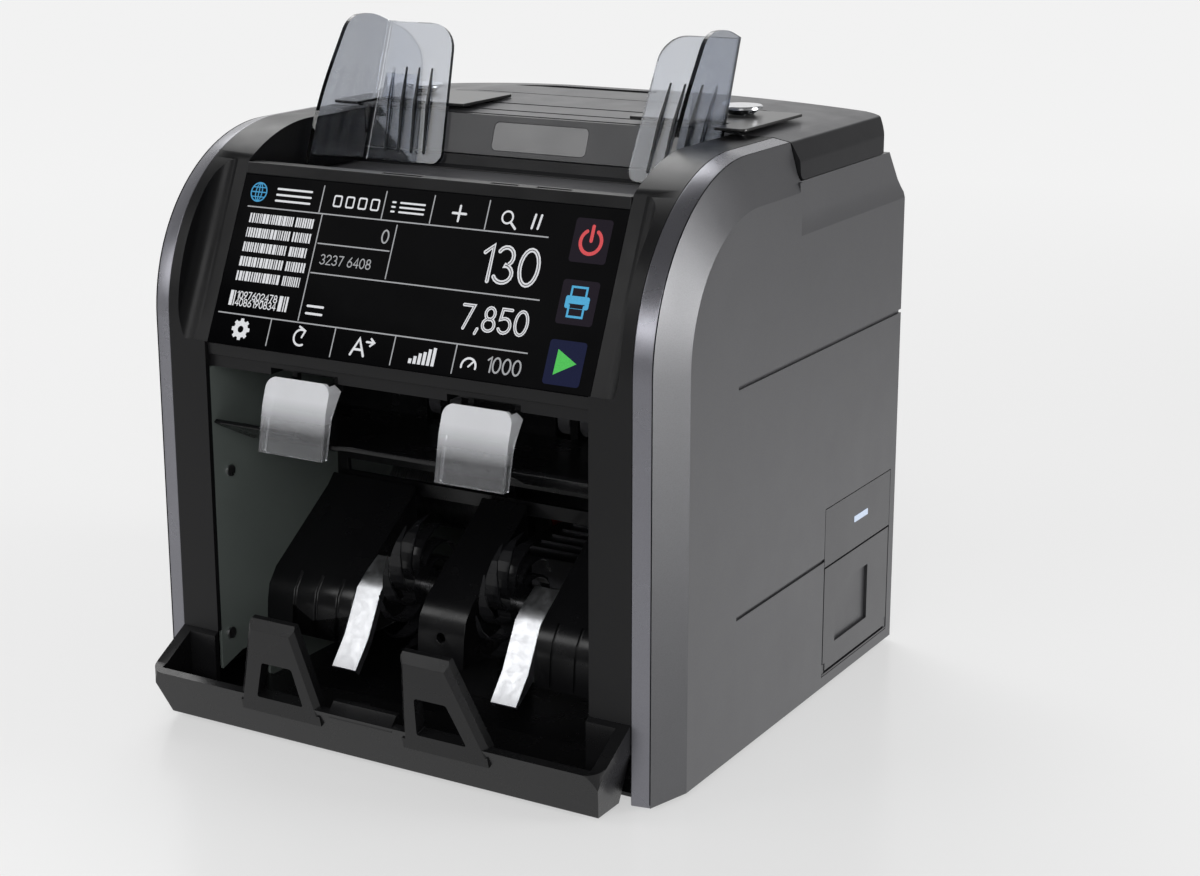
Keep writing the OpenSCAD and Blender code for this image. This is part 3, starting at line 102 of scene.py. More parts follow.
def object_coords(tree, scale=(1, 1, 1)):
    coords = tree.nodes.new("ShaderNodeTexCoord")
    mapping = tree.nodes.new("ShaderNodeMapping")
    mapping.inputs["Scale"].default_value = scale
    tree.links.new(coords.outputs["Object"], mapping.inputs["Vector"])
    return mapping.outputs["Vector"]


def noise(tree, vector, scale, detail=3.0, rough=0.55):
    node = tree.nodes.new("ShaderNodeTexNoise")
    node.inputs["Scale"].default_value = scale
    node.inputs["Detail"].default_value = detail
    node.inputs["Roughness"].default_value = rough
    tree.links.new(vector, node.inputs["Vector"])
    return node.outputs["Fac"]


def remap(tree, value, low, high, to_low, to_high):
    """Value from low to high, turned into to_low to to_high and clamped."""
    node = tree.nodes.new("ShaderNodeMapRange")
    node.inputs["From Min"].default_value = low
    node.inputs["From Max"].default_value = high
    node.inputs["To Min"].default_value = to_low
    node.inputs["To Max"].default_value = to_high
    tree.links.new(value, node.inputs["Value"])
    return node.outputs["Result"]


def tint(tree, value, dark, light):
    """Colours between dark and light, over the middle of a noise's range."""
    ramp = tree.nodes.new("ShaderNodeValToRGB")
    ramp.color_ramp.elements[0].color = dark
    ramp.color_ramp.elements[0].position = 0.3
    ramp.color_ramp.elements[1].color = light
    ramp.color_ramp.elements[1].position = 0.7
    tree.links.new(value, ramp.inputs["Fac"])
    return ramp.outputs["Color"]


def bump(tree, value, strength, distance):
    node = tree.nodes.new("ShaderNodeBump")
    node.inputs["Strength"].default_value = strength
    node.inputs["Distance"].default_value = distance
    tree.links.new(value, node.inputs["Height"])
    return node.outputs["Normal"]


def maths(tree, operation, a, b):
    node = tree.nodes.new("ShaderNodeMath")
    node.operation = operation
    tree.links.new(a, node.inputs[0])
    tree.links.new(b, node.inputs[1])
    return node.outputs[0]


def axes(tree, vector):
    """A vector's X, Y and Z, by name."""
    node = tree.nodes.new("ShaderNodeSeparateXYZ")
    tree.links.new(vector, node.inputs[0])
    return node.outputs


def mix_colours(tree, factor, under, over):
    """The colour under, and the fixed colour over where the factor is 1."""
    mix = tree.nodes.new("ShaderNodeMix")
    mix.data_type = "RGBA"
    mix.inputs["B"].default_value = over
    tree.links.new(under, mix.inputs["A"])
    tree.links.new(factor, mix.inputs["Factor"])
    return mix.outputs["Result"]


def mix_shaders(tree, factor, under, over):
    """The shader under, and the shader over where the factor is 1."""
    mix = tree.nodes.new("ShaderNodeMixShader")
    tree.links.new(factor, mix.inputs[0])
    tree.links.new(under, mix.inputs[1])
    tree.links.new(over, mix.inputs[2])
    return mix.outputs[0]


def to_output(tree, value, socket="Surface"):
    """Connects a shader in place of the one that stands on the output."""
    out = next(n for n in tree.nodes if n.type == "OUTPUT_MATERIAL")
    tree.links.new(value, out.inputs[socket])


def seen_ray(tree):
    """1 for rays that show the background: straight, mirrored or through clear plastic."""
    path = tree.nodes.new("ShaderNodeLightPath")
    value = path.outputs["Is Camera Ray"]
    for name in ("Is Glossy Ray", "Is Transmission Ray"):
        value = maths(tree, "MAXIMUM", value, path.outputs[name])
    return value


def skin(tree, shader, colours, gloss, relief):
    """Connects a finish's colours, roughness and relief."""
    tree.links.new(colours, shader.inputs["Base Color"])
    tree.links.new(gloss, shader.inputs["Roughness"])
    tree.links.new(relief, shader.inputs["Normal"])


def moulded(name, colour, rough, grain=900.0, depth=0.04 * MM, spread=0.06, sheen=0.25, top=None):
    """Moulded plastic: fine spark-eroded grain, uneven gloss and tone, and maybe a lighter tone on faces
    that look up, as painted top light.
    """
    mat, tree, shader = new_material(name)
    where = object_coords(tree)
    slow = noise(tree, where, 14.0, 4.0)
    colours = tint(tree, slow, shade(colour, 1 - spread), shade(colour, 1 + spread))
    if top:
        # Painted top light: faces that look up take the lighter colour, in place of the light that falls on
        # them
        facing = tree.nodes.new("ShaderNodeTexCoord")
        painted_top_light = remap(tree, axes(tree, facing.outputs["Normal"])["Z"], 0.75, 0.97, 0, 1)
        colours = mix_colours(tree, painted_top_light, colours, top)
    gloss = remap(tree, noise(tree, where, 55.0, 5.0), 0.3, 0.7, rough - 0.05, rough + 0.05)
    skin(tree, shader, colours, gloss, bump(tree, noise(tree, where, grain, 2.0, 0.7), 0.35, depth))
    shader.inputs["Specular IOR Level"].default_value = sheen
    return mat


def metallic_paint(name, colour, rough=0.38, metal=0.55, flake=0.10):
    """Satin metallic lacquer: aluminium flake, faint orange peel, clear top layer."""
    mat, tree, shader = new_material(name)
    where = object_coords(tree)
    flakes = tree.nodes.new("ShaderNodeTexVoronoi")
    flakes.inputs["Scale"].default_value = 2600.0
    tree.links.new(where, flakes.inputs["Vector"])
    colours = tint(tree, flakes.outputs["Distance"], shade(colour, 1 + flake), shade(colour, 1 - flake))
    gloss = remap(tree, noise(tree, where, 40.0, 4.0), 0.3, 0.7, rough - 0.03, rough + 0.04)
    skin(tree, shader, colours, gloss, bump(tree, noise(tree, where, 420.0, 2.0), 0.12, 0.06 * MM))
    shader.inputs["Metallic"].default_value = metal
    shader.inputs["Coat Weight"].default_value = 0.25
    shader.inputs["Coat Roughness"].default_value = 0.3
    return mat


def sheet_metal(name, colour, rough=0.3, along=(1, 1, 60), scratch=0.2):
    """Rolled or ground metal with a fine lengthwise grain."""
    mat, tree, shader = new_material(name)
    grain = noise(tree, object_coords(tree, along), 90.0, 4.0, 0.7)
    colours = tint(tree, grain, shade(colour, 0.9), shade(colour, 1.08))
    gloss = remap(tree, grain, 0.3, 0.7, rough - 0.06, rough + 0.08)
    skin(tree, shader, colours, gloss, bump(tree, grain, scratch, 0.03 * MM))
    shader.inputs["Metallic"].default_value = 1.0
    return mat


def rubber(name, colour, rough=0.7):
    """Matt rubber with a dusty, slightly pitted skin."""
    mat, tree, shader = new_material(name)
    where = object_coords(tree)
    dust = noise(tree, where, 120.0, 6.0, 0.7)
    colours = tint(tree, dust, shade(colour, 0.85), shade(colour, 1.35))
    gloss = remap(tree, dust, 0.3, 0.7, rough - 0.08, rough + 0.1)
    skin(tree, shader, colours, gloss, bump(tree, noise(tree, where, 1500.0, 2.0), 0.4, 0.05 * MM))
    return mat


def clear_plastic(name, colour, rough, smoke=None, reflection_heights=None):
    """Clear moulding with faint flow marks; smoke is what a metre of it absorbs per colour,
    and reflection_heights the two heights between which it turns milky and light, as a painted reflection."""
    mat, tree, shader = new_material(name)
    where = object_coords(tree, (1, 1, 0.35))
    flow = noise(tree, where, 30.0, 3.0)
    colours = tint(tree, flow, shade(colour, 0.97), shade(colour, 1.03))
    gloss = remap(tree, noise(tree, where, 160.0, 5.0), 0.35, 0.75, rough, rough + 0.03)
    skin(tree, shader, colours, gloss, bump(tree, flow, 0.04, 0.2 * MM))
    shader.inputs["Transmission Weight"].default_value = 1.0
    shader.inputs["IOR"].default_value = 1.49
    # Painted reflection: between these heights the plastic turns milky and light, copying a reflection
    if reflection_heights:
        reflection_clearness = remap(tree, axes(tree, object_coords(tree))["Z"], reflection_heights[0], reflection_heights[1], 0.93, 0.42)
        tree.links.new(reflection_clearness, shader.inputs["Transmission Weight"])
    if smoke:
        density = max(smoke)
        volume = tree.nodes.new("ShaderNodeVolumeAbsorption")
        volume.inputs["Color"].default_value = tuple(1 - s / density for s in smoke) + (1.0,)
        volume.inputs["Density"].default_value = density
        to_output(tree, volume.outputs["Volume"], "Volume")
    return mat


def lit_ink(name, colour, strength):
    """Light of the display, with the faint pixel grid of the panel in it."""
    mat, tree, shader = new_material(name)
    cells = noise(tree, object_coords(tree), 2200.0, 2.0, 0.5)
    tones = tint(tree, cells, shade(colour, 0.86), shade(colour, 1.06))
    tree.links.new(tones, shader.inputs["Emission Color"])
    shader.inputs["Emission Strength"].default_value = strength
    shader.inputs["Base Color"].default_value = grey(0.004)
    shader.inputs["Roughness"].default_value = 0.15
    shader.inputs["Specular IOR Level"].default_value = 0.012
    return mat


def board_with_sockets():
    """Green lacquer, and plated steel on the sockets that stand up behind the board."""
    mat, tree, shader = new_material("board_green")
    where = object_coords(tree)
    edge = 0.05 * MM
    socket = remap(tree, axes(tree, where)["Y"], BOARD_FACE - edge, BOARD_FACE + edge, 0, 1)
    green = tint(tree, noise(tree, where, 60.0), (0.008, 0.07, 0.03, 1), (0.012, 0.1, 0.04, 1))
    colours = mix_colours(tree, socket, green, (0.45, 0.45, 0.46, 1))
    tree.links.new(colours, shader.inputs["Base Color"])
    tree.links.new(socket, shader.inputs["Metallic"])
    shader.inputs["Roughness"].default_value = 0.35
    return mat


def two_shot(name, height):
    """Black plastic up to a height, smoked clear plastic above it."""
    mat, tree, shader = new_material(name)
    where = object_coords(tree)
    tones = tint(tree, noise(tree, where, 60.0), grey(0.008), grey(0.012))
    tree.links.new(tones, shader.inputs["Base Color"])
    shader.inputs["Roughness"].default_value = 0.3
    clear = tree.nodes.new("ShaderNodeBsdfPrincipled")
    clear.inputs["Base Color"].default_value = (0.75, 0.77, 0.82, 1)
    clear.inputs["Roughness"].default_value = 0.03
    clear.inputs["IOR"].default_value = 1.1
    clear.inputs["Transmission Weight"].default_value = 1.0
    edge = 0.1 * MM
    above = remap(tree, axes(tree, where)["Z"], height - edge, height + edge, 0, 1)
    to_output(tree, mix_shaders(tree, above, shader.outputs[0], clear.outputs[0]))
    return mat


# Meshes


def soften(node, width, segments, angle):
    """Rounds a CAD node's hard edges in the render, by modifiers alone."""
    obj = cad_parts[node]
    join = obj.modifiers.new("Join", "WELD")
    join.merge_threshold = 2e-6
    flat = obj.modifiers.new("Flat", "DECIMATE")
    flat.decimate_type = "DISSOLVE"
    flat.angle_limit = math.radians(0.4)
    edges = obj.modifiers.new("Edges", "BEVEL")
    edges.width = width * MM
    edges.segments = segments
    edges.limit_method = "ANGLE"
    edges.angle_limit = math.radians(angle)
    edges.use_clamp_overlap = True
    edges.harden_normals = False
    mesh = obj.data
    for face in mesh.polygons:
        face.use_smooth = True
    for name in ("custom_normal", "sharp_edge"):
        found = mesh.attributes.get(name)
        if found:
            mesh.attributes.remove(found)
    weighted = obj.modifiers.new("Normals", "WEIGHTED_NORMAL")
    weighted.keep_sharp = True
    weighted.weight = 80


def wear(node, material, width=None, segments=2, angle=34.0):
    """Puts a finish on a CAD node and, given a width in mm, rounds its hard edges."""
    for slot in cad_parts[node].material_slots:
        slot.material = material
    if width:
        soften(node, width, segments, angle)


def add_piece(name, bm, material, body):
    """Makes a finished piece of a bmesh and lets it ride a body."""
    mesh = bpy.data.meshes.new(name)
    bm.to_mesh(mesh)
    bm.free()
    obj = bpy.data.objects.new(name, mesh)
    bpy.context.scene.collection.objects.link(obj)
    mesh.materials.append(material)
    if body:
        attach(obj, body)
    return obj


def solid_piece(name, bm, material, body):
    bmesh.ops.recalc_face_normals(bm, faces=bm.faces)
    return add_piece(name, bm, material, body)


def flat_piece(name, outlines, material, outward):
    """Thin faces on the casing that all look outward."""
    bm = bmesh.new()
    for outline in outlines:
        bm.faces.new([bm.verts.new(point) for point in outline])
    bmesh.ops.remove_doubles(bm, verts=bm.verts, dist=SAME_POINT)
    for face in bm.faces:
        face.normal_update()
        if face.normal.dot(outward) < 0:
            face.normal_flip()
    return add_piece(name, bm, material, "casing")


# Lines and areas on the display glass, in mm: u from its middle, v up from its foot

TILT = math.radians(24.6)
GLASS_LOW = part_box("display_glass")[0]
GLASS_T = 3.0 * MM
GLASS_FOOT = Vector((0, GLASS_LOW.y, GLASS_LOW.z + GLASS_T * math.sin(TILT)))
UP_GLASS = Vector((0, math.sin(TILT), math.cos(TILT)))
OFF_GLASS = Vector((0, -math.cos(TILT), math.sin(TILT)))


def on_glass(u, v, lift):
    """Point at u and v on the display glass, lift above it."""
    return GLASS_FOOT + Vector((u * MM, 0, 0)) + UP_GLASS * (v * MM) + OFF_GLASS * (lift * MM)


def glass_piece(name, faces, material, lift=0.06):
    outlines = [[on_glass(u, v, lift) for u, v in face] for face in faces]
    return flat_piece(name, outlines, material, OFF_GLASS)


def arc(cx, cy, rx, ry, a0, a1, n=10):
    return [(cx + rx * math.cos(math.radians(a0 + (a1 - a0) * i / n)),
             cy + ry * math.sin(math.radians(a0 + (a1 - a0) * i / n))) for i in range(n + 1)]


def circle(u, v, r, n=28, ry=None):
    return arc(u, v, r, ry or r, 0, 360, n)[:-1]


def bar(u, v, wide, tall):
    """Upright rectangle, from its lower left corner."""
    return [(u, v), (u + wide, v), (u + wide, v + tall), (u, v + tall)]


# Cosine of half the turn past which a mitre grows no longer
SHARPEST_MITRE = 0.55


def stroke(points, width, closed=False):
    """Faces of a line of even width with mitred bends and round ends."""
    n = len(points)
    half = width / 2
    sides = []
    for i, (x, y) in enumerate(points):
        before = points[i - 1] if (i > 0 or closed) else None
        after = points[(i + 1) % n] if (i < n - 1 or closed) else None
        ways = []
        if before:
            ways.append(Vector((x - before[0], y - before[1])).normalized())
        if after:
            ways.append(Vector((after[0] - x, after[1] - y)).normalized())
        mean = sum(ways, Vector((0, 0)))
        mean = ways[0] if mean.length < 1e-6 else mean.normalized()
        grow = 1 / max(SHARPEST_MITRE, mean.dot(ways[0]))
        side = Vector((-mean.y, mean.x)) * half * grow
        sides.append(((x + side.x, y + side.y), (x - side.x, y - side.y)))
    faces = []
    for i in range(n if closed else n - 1):
        a, b = sides[i], sides[(i + 1) % n]
        faces.append([a[1], b[1], b[0], a[0]])
    if not closed:
        for at, to in ((points[0], points[1]), (points[-1], points[-2])):
            turn = math.degrees(math.atan2(at[1] - to[1], at[0] - to[0]))
            faces.append(arc(at[0], at[1], half, half, turn - 90, turn + 90, 8))
    return faces


def round_box(u0, v0, u1, v1, r, n=5):
    """Outline with round corners, from lower left to upper right."""
    corners = ((u1 - r, v1 - r), (u0 + r, v1 - r), (u0 + r, v0 + r), (u1 - r, v0 + r))
    return [p for i, (u, v) in enumerate(corners) for p in arc(u, v, r, r, 90 * i, 90 * i + 90, n)]


def ring(outer, inner):
    """Faces between two outlines with as many points."""
    n = len(outer)
    return [[outer[i], outer[(i + 1) % n], inner[(i + 1) % n], inner[i]] for i in range(n)]


# Strokes of the digits, one unit high, and whether they close
DIGITS = {
    "0": ([arc(0.3, 0.5, 0.29, 0.5, 0, 342, 19)], True),
    "1": ([[(0.12, 0.8), (0.36, 1.0), (0.36, 0.0)]], False),
    "2": ([arc(0.3, 0.72, 0.27, 0.28, 165, -20, 9) + [(0.02, 0.0), (0.58, 0.0)]], False),
    "3": ([arc(0.28, 0.74, 0.25, 0.26, 150, -80, 10)
           + arc(0.28, 0.25, 0.29, 0.25, 80, -155, 11)], False),
    "4": ([[(0.46, 0.0), (0.46, 1.0), (0.02, 0.28), (0.6, 0.28)]], False),
    "5": ([[(0.54, 1.0), (0.1, 1.0), (0.06, 0.56)]
           + arc(0.28, 0.31, 0.29, 0.31, 110, -150, 12)], False),
    "6": ([[(0.44, 1.0), (0.1, 0.5)] + arc(0.3, 0.29, 0.27, 0.29, 170, -170, 14)], False),
    "7": ([[(0.04, 1.0), (0.56, 1.0), (0.2, 0.0)]], False),
    "8": ([arc(0.3, 0.75, 0.22, 0.25, -90, 252, 15),
           arc(0.3, 0.26, 0.28, 0.26, 90, 432, 17)], True),
    "9": ([arc(0.3, 0.71, 0.27, 0.29, -10, 350, 14) + [(0.5, 0.5), (0.16, 0.0)]], False),
}


def number(text, right, low, height, width, advance=0.78):
    """Stroked digits that end at right; returns the faces."""
    faces = []
    u = right
    for sign in reversed(text):
        if sign == ",":
            u -= 0.32 * height
            top, tip = (u + 0.12 * height, low + 0.04 * height), (u + 0.04 * height, low - 0.16 * height)
            faces += stroke([top, tip], width)
            continue
        if sign == " ":
            u -= 0.4 * height
            continue
        u -= (advance if sign != "1" else 0.52) * height
        lines, closed = DIGITS[sign]
        for line in lines:
            faces += stroke([(u + x * height, low + y * height) for x, y in line], width, closed)
    return faces


# Settings


class CounterColours(bpy.types.PropertyGroup):
    cover: bpy.props.FloatVectorProperty(
        name="Side covers", description="Satin metallic paint of the side covers",
        subtype="COLOR", size=4, min=0, max=1, default=(0.053, 0.053, 0.057, 1))
    trim: bpy.props.FloatVectorProperty(
        name="Trim strips", description="Bright satin paint of the trim strips",
        subtype="COLOR", size=4, min=0, max=1, default=(0.17, 0.17, 0.19, 1))
    black: bpy.props.FloatVectorProperty(
        name="Front mouldings", description="Black plastic of the front frame and tray",
        subtype="COLOR", size=4, min=0, max=1, default=(0.0065, 0.0065, 0.007, 1))
    lid: bpy.props.FloatVectorProperty(
        name="Lid", description="Dark plastic of the lid's sides",
        subtype="COLOR", size=4, min=0, max=1, default=(0.011, 0.011, 0.012, 1))
    # Lighter grey painted on the lid's upward faces as painted top light; the hopper's own grey is a darker
    # shade of it
    painted_deck_light: bpy.props.FloatVectorProperty(
        name="Deck", description="Grey of the lid's deck",
        subtype="COLOR", size=4, min=0, max=1, default=(0.085, 0.085, 0.090, 1))
    smoke: bpy.props.FloatVectorProperty(
        name="Note guides", description="Light that a metre of the smoked guides takes, per colour",
        size=3, min=0, max=2000, default=(235, 218, 185))


class CounterSizes(bpy.types.PropertyGroup):
    edge: bpy.props.FloatProperty(
        name="Edge rounding", description="Radius on the edges of the large mouldings, in mm",
        default=0.7, min=0.1, max=1.5)
    big_digit: bpy.props.FloatProperty(
        name="Count digits", description="Height of the count on the display, in mm",
        default=14.6, min=6, max=18)
    total_digit: bpy.props.FloatProperty(
        name="Total digits", description="Height of the total on the display, in mm",
        default=9.6, min=5, max=14)
    line: bpy.props.FloatProperty(
        name="Screen lines", description="Width of the dividing lines on the display, in mm",
        default=0.55, min=0.2, max=1.2)
    glow: bpy.props.FloatProperty(
        name="Screen light", description="Strength of the display's light",
        default=0.85, min=0.1, max=3)


# Steps


def seam(name, x, material):
    """Thin dark line of painted shade along the gap where a trim strip meets its side cover, up and over to
    the lid.
    """
    low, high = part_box("side_cover_right")
    front, top = low.y, high.z
    middle = (front + ARCH_R, top - ARCH_R)
    path = [(front, SEAM_FOOT)]
    path += arc(middle[0], middle[1], ARCH_R, ARCH_R, 180, 90, 30)
    path.append((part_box("top_lid")[0].y - SEAM_END, top))
    bm = bmesh.new()
    rows = []
    for i, (y, z) in enumerate(path):
        before, after = path[max(0, i - 1)], path[min(len(path) - 1, i + 1)]
        way = Vector((after[0] - before[0], after[1] - before[1])).normalized()
        lift = Vector((-way.y, way.x)) * SEAM_LIFT
        rows.append([bm.verts.new((x + side * SEAM_WIDTH / 2, y + lift.x, z + lift.y)) for side in (-1, 1)])
    for a, b in zip(rows, rows[1:]):
        bm.faces.new((a[0], b[0], b[1], a[1]))
    return solid_piece(name, bm, material, "casing")


class COUNTER_OT_casing(bpy.types.Operator):
    """Finishes the covers, trim strips, lid, front frame and tray, and draws the seams"""

    bl_idname = "counter.casing"
    bl_label = "Finish casing"

    def execute(self, context):
        colours = context.scene.counter_colours
        edge = context.scene.counter_sizes.edge
        painted_deck_light = tuple(colours.painted_deck_light)
        cover = metallic_paint("cover_paint", tuple(colours.cover))
        trim = metallic_paint("trim_paint", tuple(colours.trim), rough=0.28, metal=0.8, flake=0.05)
        black = moulded("front_black", tuple(colours.black), 0.36, sheen=0.2, **FINE_GRAIN)
        tray = moulded("tray_black", tuple(colours.black), 0.27, sheen=0.24, **FINE_GRAIN)
        # Painted top light: the upward faces of the lid, hopper floor and feed throat take the lighter grey
        lid = moulded("lid_grey", tuple(colours.lid), 0.34, sheen=0.15, top=painted_deck_light, **LID_GRAIN)
        hopper = moulded("hopper_grey", shade(painted_deck_light, 0.6), 0.38, sheen=0.4, **LID_GRAIN)
        window = moulded("window_plate", (0.07, 0.07, 0.073, 1), 0.15,
                         grain=400.0, depth=0.01 * MM, spread=0.1, sheen=0.5)
        # A cover's band meets its flat side at a shallow angle, which is rounded too
        wear("side_cover_left", cover, edge, angle=12.5)
        wear("side_cover_right", cover, edge, angle=12.5)
        wear("rear_cover", cover, 0.4)
        wear("trim_strip_left", trim, 0.5)
        wear("trim_strip_right", trim, 0.5)
        wear("front_frame", black, 0.6)
        wear("display_housing", black, 0.5)
        wear("note_tray", tray, 0.9, segments=3)
        wear("top_lid", lid, 0.5)
        wear("hopper_back_wall", hopper, 0.3)
        wear("hopper_floor", lid, 0.3)
        wear("feed_throat", lid)
        wear("hopper_window", window, 0.3)
        wear("feet", rubber("foot_rubber", (0.02, 0.02, 0.02, 1)))
        # A thin dark strip along each seam is painted shade of the gap between trim and cover
        line = moulded("seam_painted_shade", (0.004, 0.004, 0.005, 1), 0.6, sheen=0.05, **SMOOTH)
        seam("seam_left", -SEAM_X, line)
        seam("seam_right", SEAM_X, line)
        return {"FINISHED"}


class COUNTER_OT_works(bpy.types.Operator):
    """Finishes the chassis, pockets, rollers and drive"""

    bl_idname = "counter.works"
    bl_label = "Finish works"

    def execute(self, context):
        zinc = moulded("zinc_plate", (0.13, 0.15, 0.14, 1), 0.4,
                       grain=300.0, depth=0.01 * MM, spread=0.08, sheen=0.5)
        steel = sheet_metal("ground_steel", (0.30, 0.30, 0.31, 1), 0.28, along=(60, 1, 1))
        polished = sheet_metal("polished_steel", (0.60, 0.61, 0.63, 1), 0.34, (3, 3, 3), scratch=0.004)
        bronze = sheet_metal("bearing_bronze", (0.45, 0.30, 0.14, 1), 0.35, along=EVEN)
        dark = moulded("pocket_black", (0.0045, 0.0045, 0.005, 1), 0.25, sheen=0.3, **FINE_GRAIN)
        blade = moulded("blade_grey", (0.008, 0.008, 0.009, 1), 0.28,
                        grain=700.0, depth=0.02 * MM, spread=0.1, sheen=0.35)
        tyre = rubber("tyre_grey", (0.06, 0.06, 0.065, 1), 0.6)
        black = rubber("black_rubber", (0.02, 0.02, 0.02, 1), 0.65)
        sensor = moulded("sensor_window", (0.01, 0.012, 0.012, 1), 0.1,
                         grain=300.0, depth=0.01 * MM, spread=0.1, sheen=0.5)
        paper = moulded("paper_white", (0.82, 0.82, 0.80, 1), 0.75, grain=500.0, spread=0.03)
        for nodes, material, width in (
                ("chassis_plate_left chassis_plate_right", zinc, None),
                ("cross_rods stacker_shaft feed_shaft motor_pulley drive_motor lid_hinge_pin", steel, None),
                ("note_fingers", polished, 0.3),
                ("bearing_set", bronze, None),
                ("stacker_block_left stacker_block_middle stacker_block_right", dark, 0.6),
                ("reject_shelf pocket_back_panel", dark, 0.6),
                ("base_plate printer_bin", dark, None),
                ("stacker_wheel_left stacker_wheel_right", blade, None),
                ("pickup_roller transport_roller reject_roller", tyre, None),
                ("feed_tyres retard_pad drive_belts platen_roller", black, None),
                ("image_sensor_front image_sensor_rear", sensor, None),
                ("paper_roll", paper, None)):
            for node in nodes.split():
                wear(node, material, width)
        wear("main_board", board_with_sockets())
        wear("power_supply", sheet_metal("supply_case", (0.16, 0.16, 0.17, 1), 0.35, along=(30, 1, 1)))
        return {"FINISHED"}


class COUNTER_OT_display(bpy.types.Operator):
    """Draws the display: dividing lines, numbers and plain signs"""

    bl_idname = "counter.display"
    bl_label = "Draw display"

    def execute(self, context):
        sizes = context.scene.counter_sizes
        glass = moulded("touch_glass", (0.0012, 0.0012, 0.0015, 1), 0.14,
                        grain=200.0, depth=0.002 * MM, spread=0.1, sheen=0.012)
        wear("display_glass", glass, 0.35)
        white = lit_ink("screen_white", (0.86, 0.87, 0.90, 1), sizes.glow)
        soft = lit_ink("screen_grey", (0.55, 0.56, 0.58, 1), sizes.glow * 0.8)
        dim = lit_ink("screen_dim", (0.16, 0.16, 0.17, 1), sizes.glow)
        blue = lit_ink("screen_blue", (0.08, 0.38, 0.68, 1), sizes.glow)
        lines = []
        for a, b in (((-90, 61), (61, 61)), ((-50.2, 60.5), (-50.2, 14.6)), ((-49, 48.2), (-12.6, 48.2)),
                     ((-11.4, 59.4), (-11.4, 36.6)), ((-49.3, 35.4), (63.2, 35.4)),
                     ((-92.5, 13.7), (63, 13.7))):
            lines += stroke([a, b], sizes.line)
        for u, low, high in ((-52.2, 61.6, 73), (-20.1, 61.5, 73.2), (4, 61.6, 73.4), (30.8, 61.6, 73.6),
                             (-63.8, 2, 13.4), (-30.2, 1.2, 13.3), (0.1, 1.4, 13.3), (30.1, 1.6, 13.4)):
            lines += stroke([(u, low), (u, high)], sizes.line)
        glass_piece("screen_lines", lines, soft)

        # The large numbers have a bright outline round a dim core
        for name, text, right, low, height, outline, core in (
                ("screen_count", "130", 62.4, 40.6, sizes.big_digit, 1.75, 0.45),
                ("screen_total", "7,850", 62.0, 20.4, sizes.total_digit, 1.35, 0.35)):
            glass_piece(name, number(text, right, low, height, outline), white)
            glass_piece(name + "_core", number(text, right, low, height, core), dim, 0.09)
        small = number("0", -13.4, 51.4, 5.4, 0.7) + number("1000", 62.6, 4.2, 6.0, 0.75)
        small += number("3237 6408", -19.4, 39.6, 4.0, 0.5)
        glass_piece("screen_small_numbers", small, soft)

        # Rows of tick marks in two columns, as in a count list
        rng = random.Random(5)
        row_top, row_step, tick_tall = 54.0, 6.42, 4.2
        first, gap_from, gap_to, last = -87.6, -64.8, -62.9, -53.6
        ticks = []
        for row in range(5):
            u = first
            while u < last:
                if gap_from < u < gap_to:
                    u = gap_to
                wide = rng.choice((0.5, 0.7, 0.9, 1.4))
                ticks.append(bar(u, row_top - row * row_step, wide, tick_tall))
                u += wide + rng.choice((0.35, 0.45, 0.6))
        for u, wide in ((-88.4, 1.7), (-86.2, 0.6), (-62.2, 1.9), (-59.6, 0.6), (-58.4, 1.0)):
            ticks.append(bar(u, 17.2, wide, 6.6))
        for low, text in ((20.6, "1097602478"), (17.4, "4086190834")):
            ticks += number(text, -62.9, low, 3.0, 0.45, 0.76)
        glass_piece("screen_tick_rows", ticks, white)

        # Signs in the tabs and in the lower row, in place of words
        signs = []
        for i in range(3):
            signs += stroke([(-76, 69.8 - 2.6 * i), (-58, 69.8 - 2.6 * i)], 0.9)
        for u in (-46, -39.6, -33.2, -26.8):
            signs += ring(round_box(u, 64.4, u + 4.4, 69.6, 0.9),
                          round_box(u + 0.7, 65.1, u + 3.7, 68.9, 0.5))
        for i in range(3):
            signs += stroke([(-16, 69 - 2 * i), (-14.6, 69 - 2 * i)], 0.8)
            signs += stroke([(-12, 69 - 2 * i), (0, 69 - 2 * i)], 0.8)
        signs += ring(circle(40.5, 67.4, 2.9), circle(40.5, 67.4, 2.1))
        signs += stroke(arc(-47, 7.4, 3.4, 3.4, 60, 300, 12), 0.9)
        signs += stroke(arc(37.4, 5.2, 3.4, 3.4, 190, -10, 12), 0.9)
        for width, points in (
                (1.0, [(17.4, 63.8), (17.4, 70.2)]), (1.0, [(14.2, 67), (20.6, 67)]),
                (1.0, [(42.7, 65.2), (45, 63)]),
                (1.0, [(52.6, 64), (53.4, 69.6)]), (1.0, [(55.4, 64), (56.2, 69.6)]),
                (1.0, [(-47, 21.2), (-39, 21.2)]), (1.0, [(-47, 18), (-39, 18)]),
                (0.9, [(-48.4, 12), (-45.2, 10.4), (-46.4, 7.6)]),
                (1.1, [(-20.4, 3.4), (-17.1, 10.4), (-13.8, 3.4)]), (1.0, [(-19.2, 5.8), (-15.0, 5.8)]),
                (0.9, [(-13.4, 9.4), (-9.8, 9.4)]), (0.9, [(-11.4, 10.9), (-9.6, 9.4), (-11.4, 7.9)]),
                (0.8, [(37.4, 5.2), (39.6, 7.6)])):
            signs += stroke(points, width)
        for i, tall in enumerate((2, 3.2, 4.6, 5.4, 6.8, 7.6)):
            signs.append(bar(8.6 + 2.2 * i, 3.2, 1.5, tall))
        glass_piece("screen_signs", signs, white)

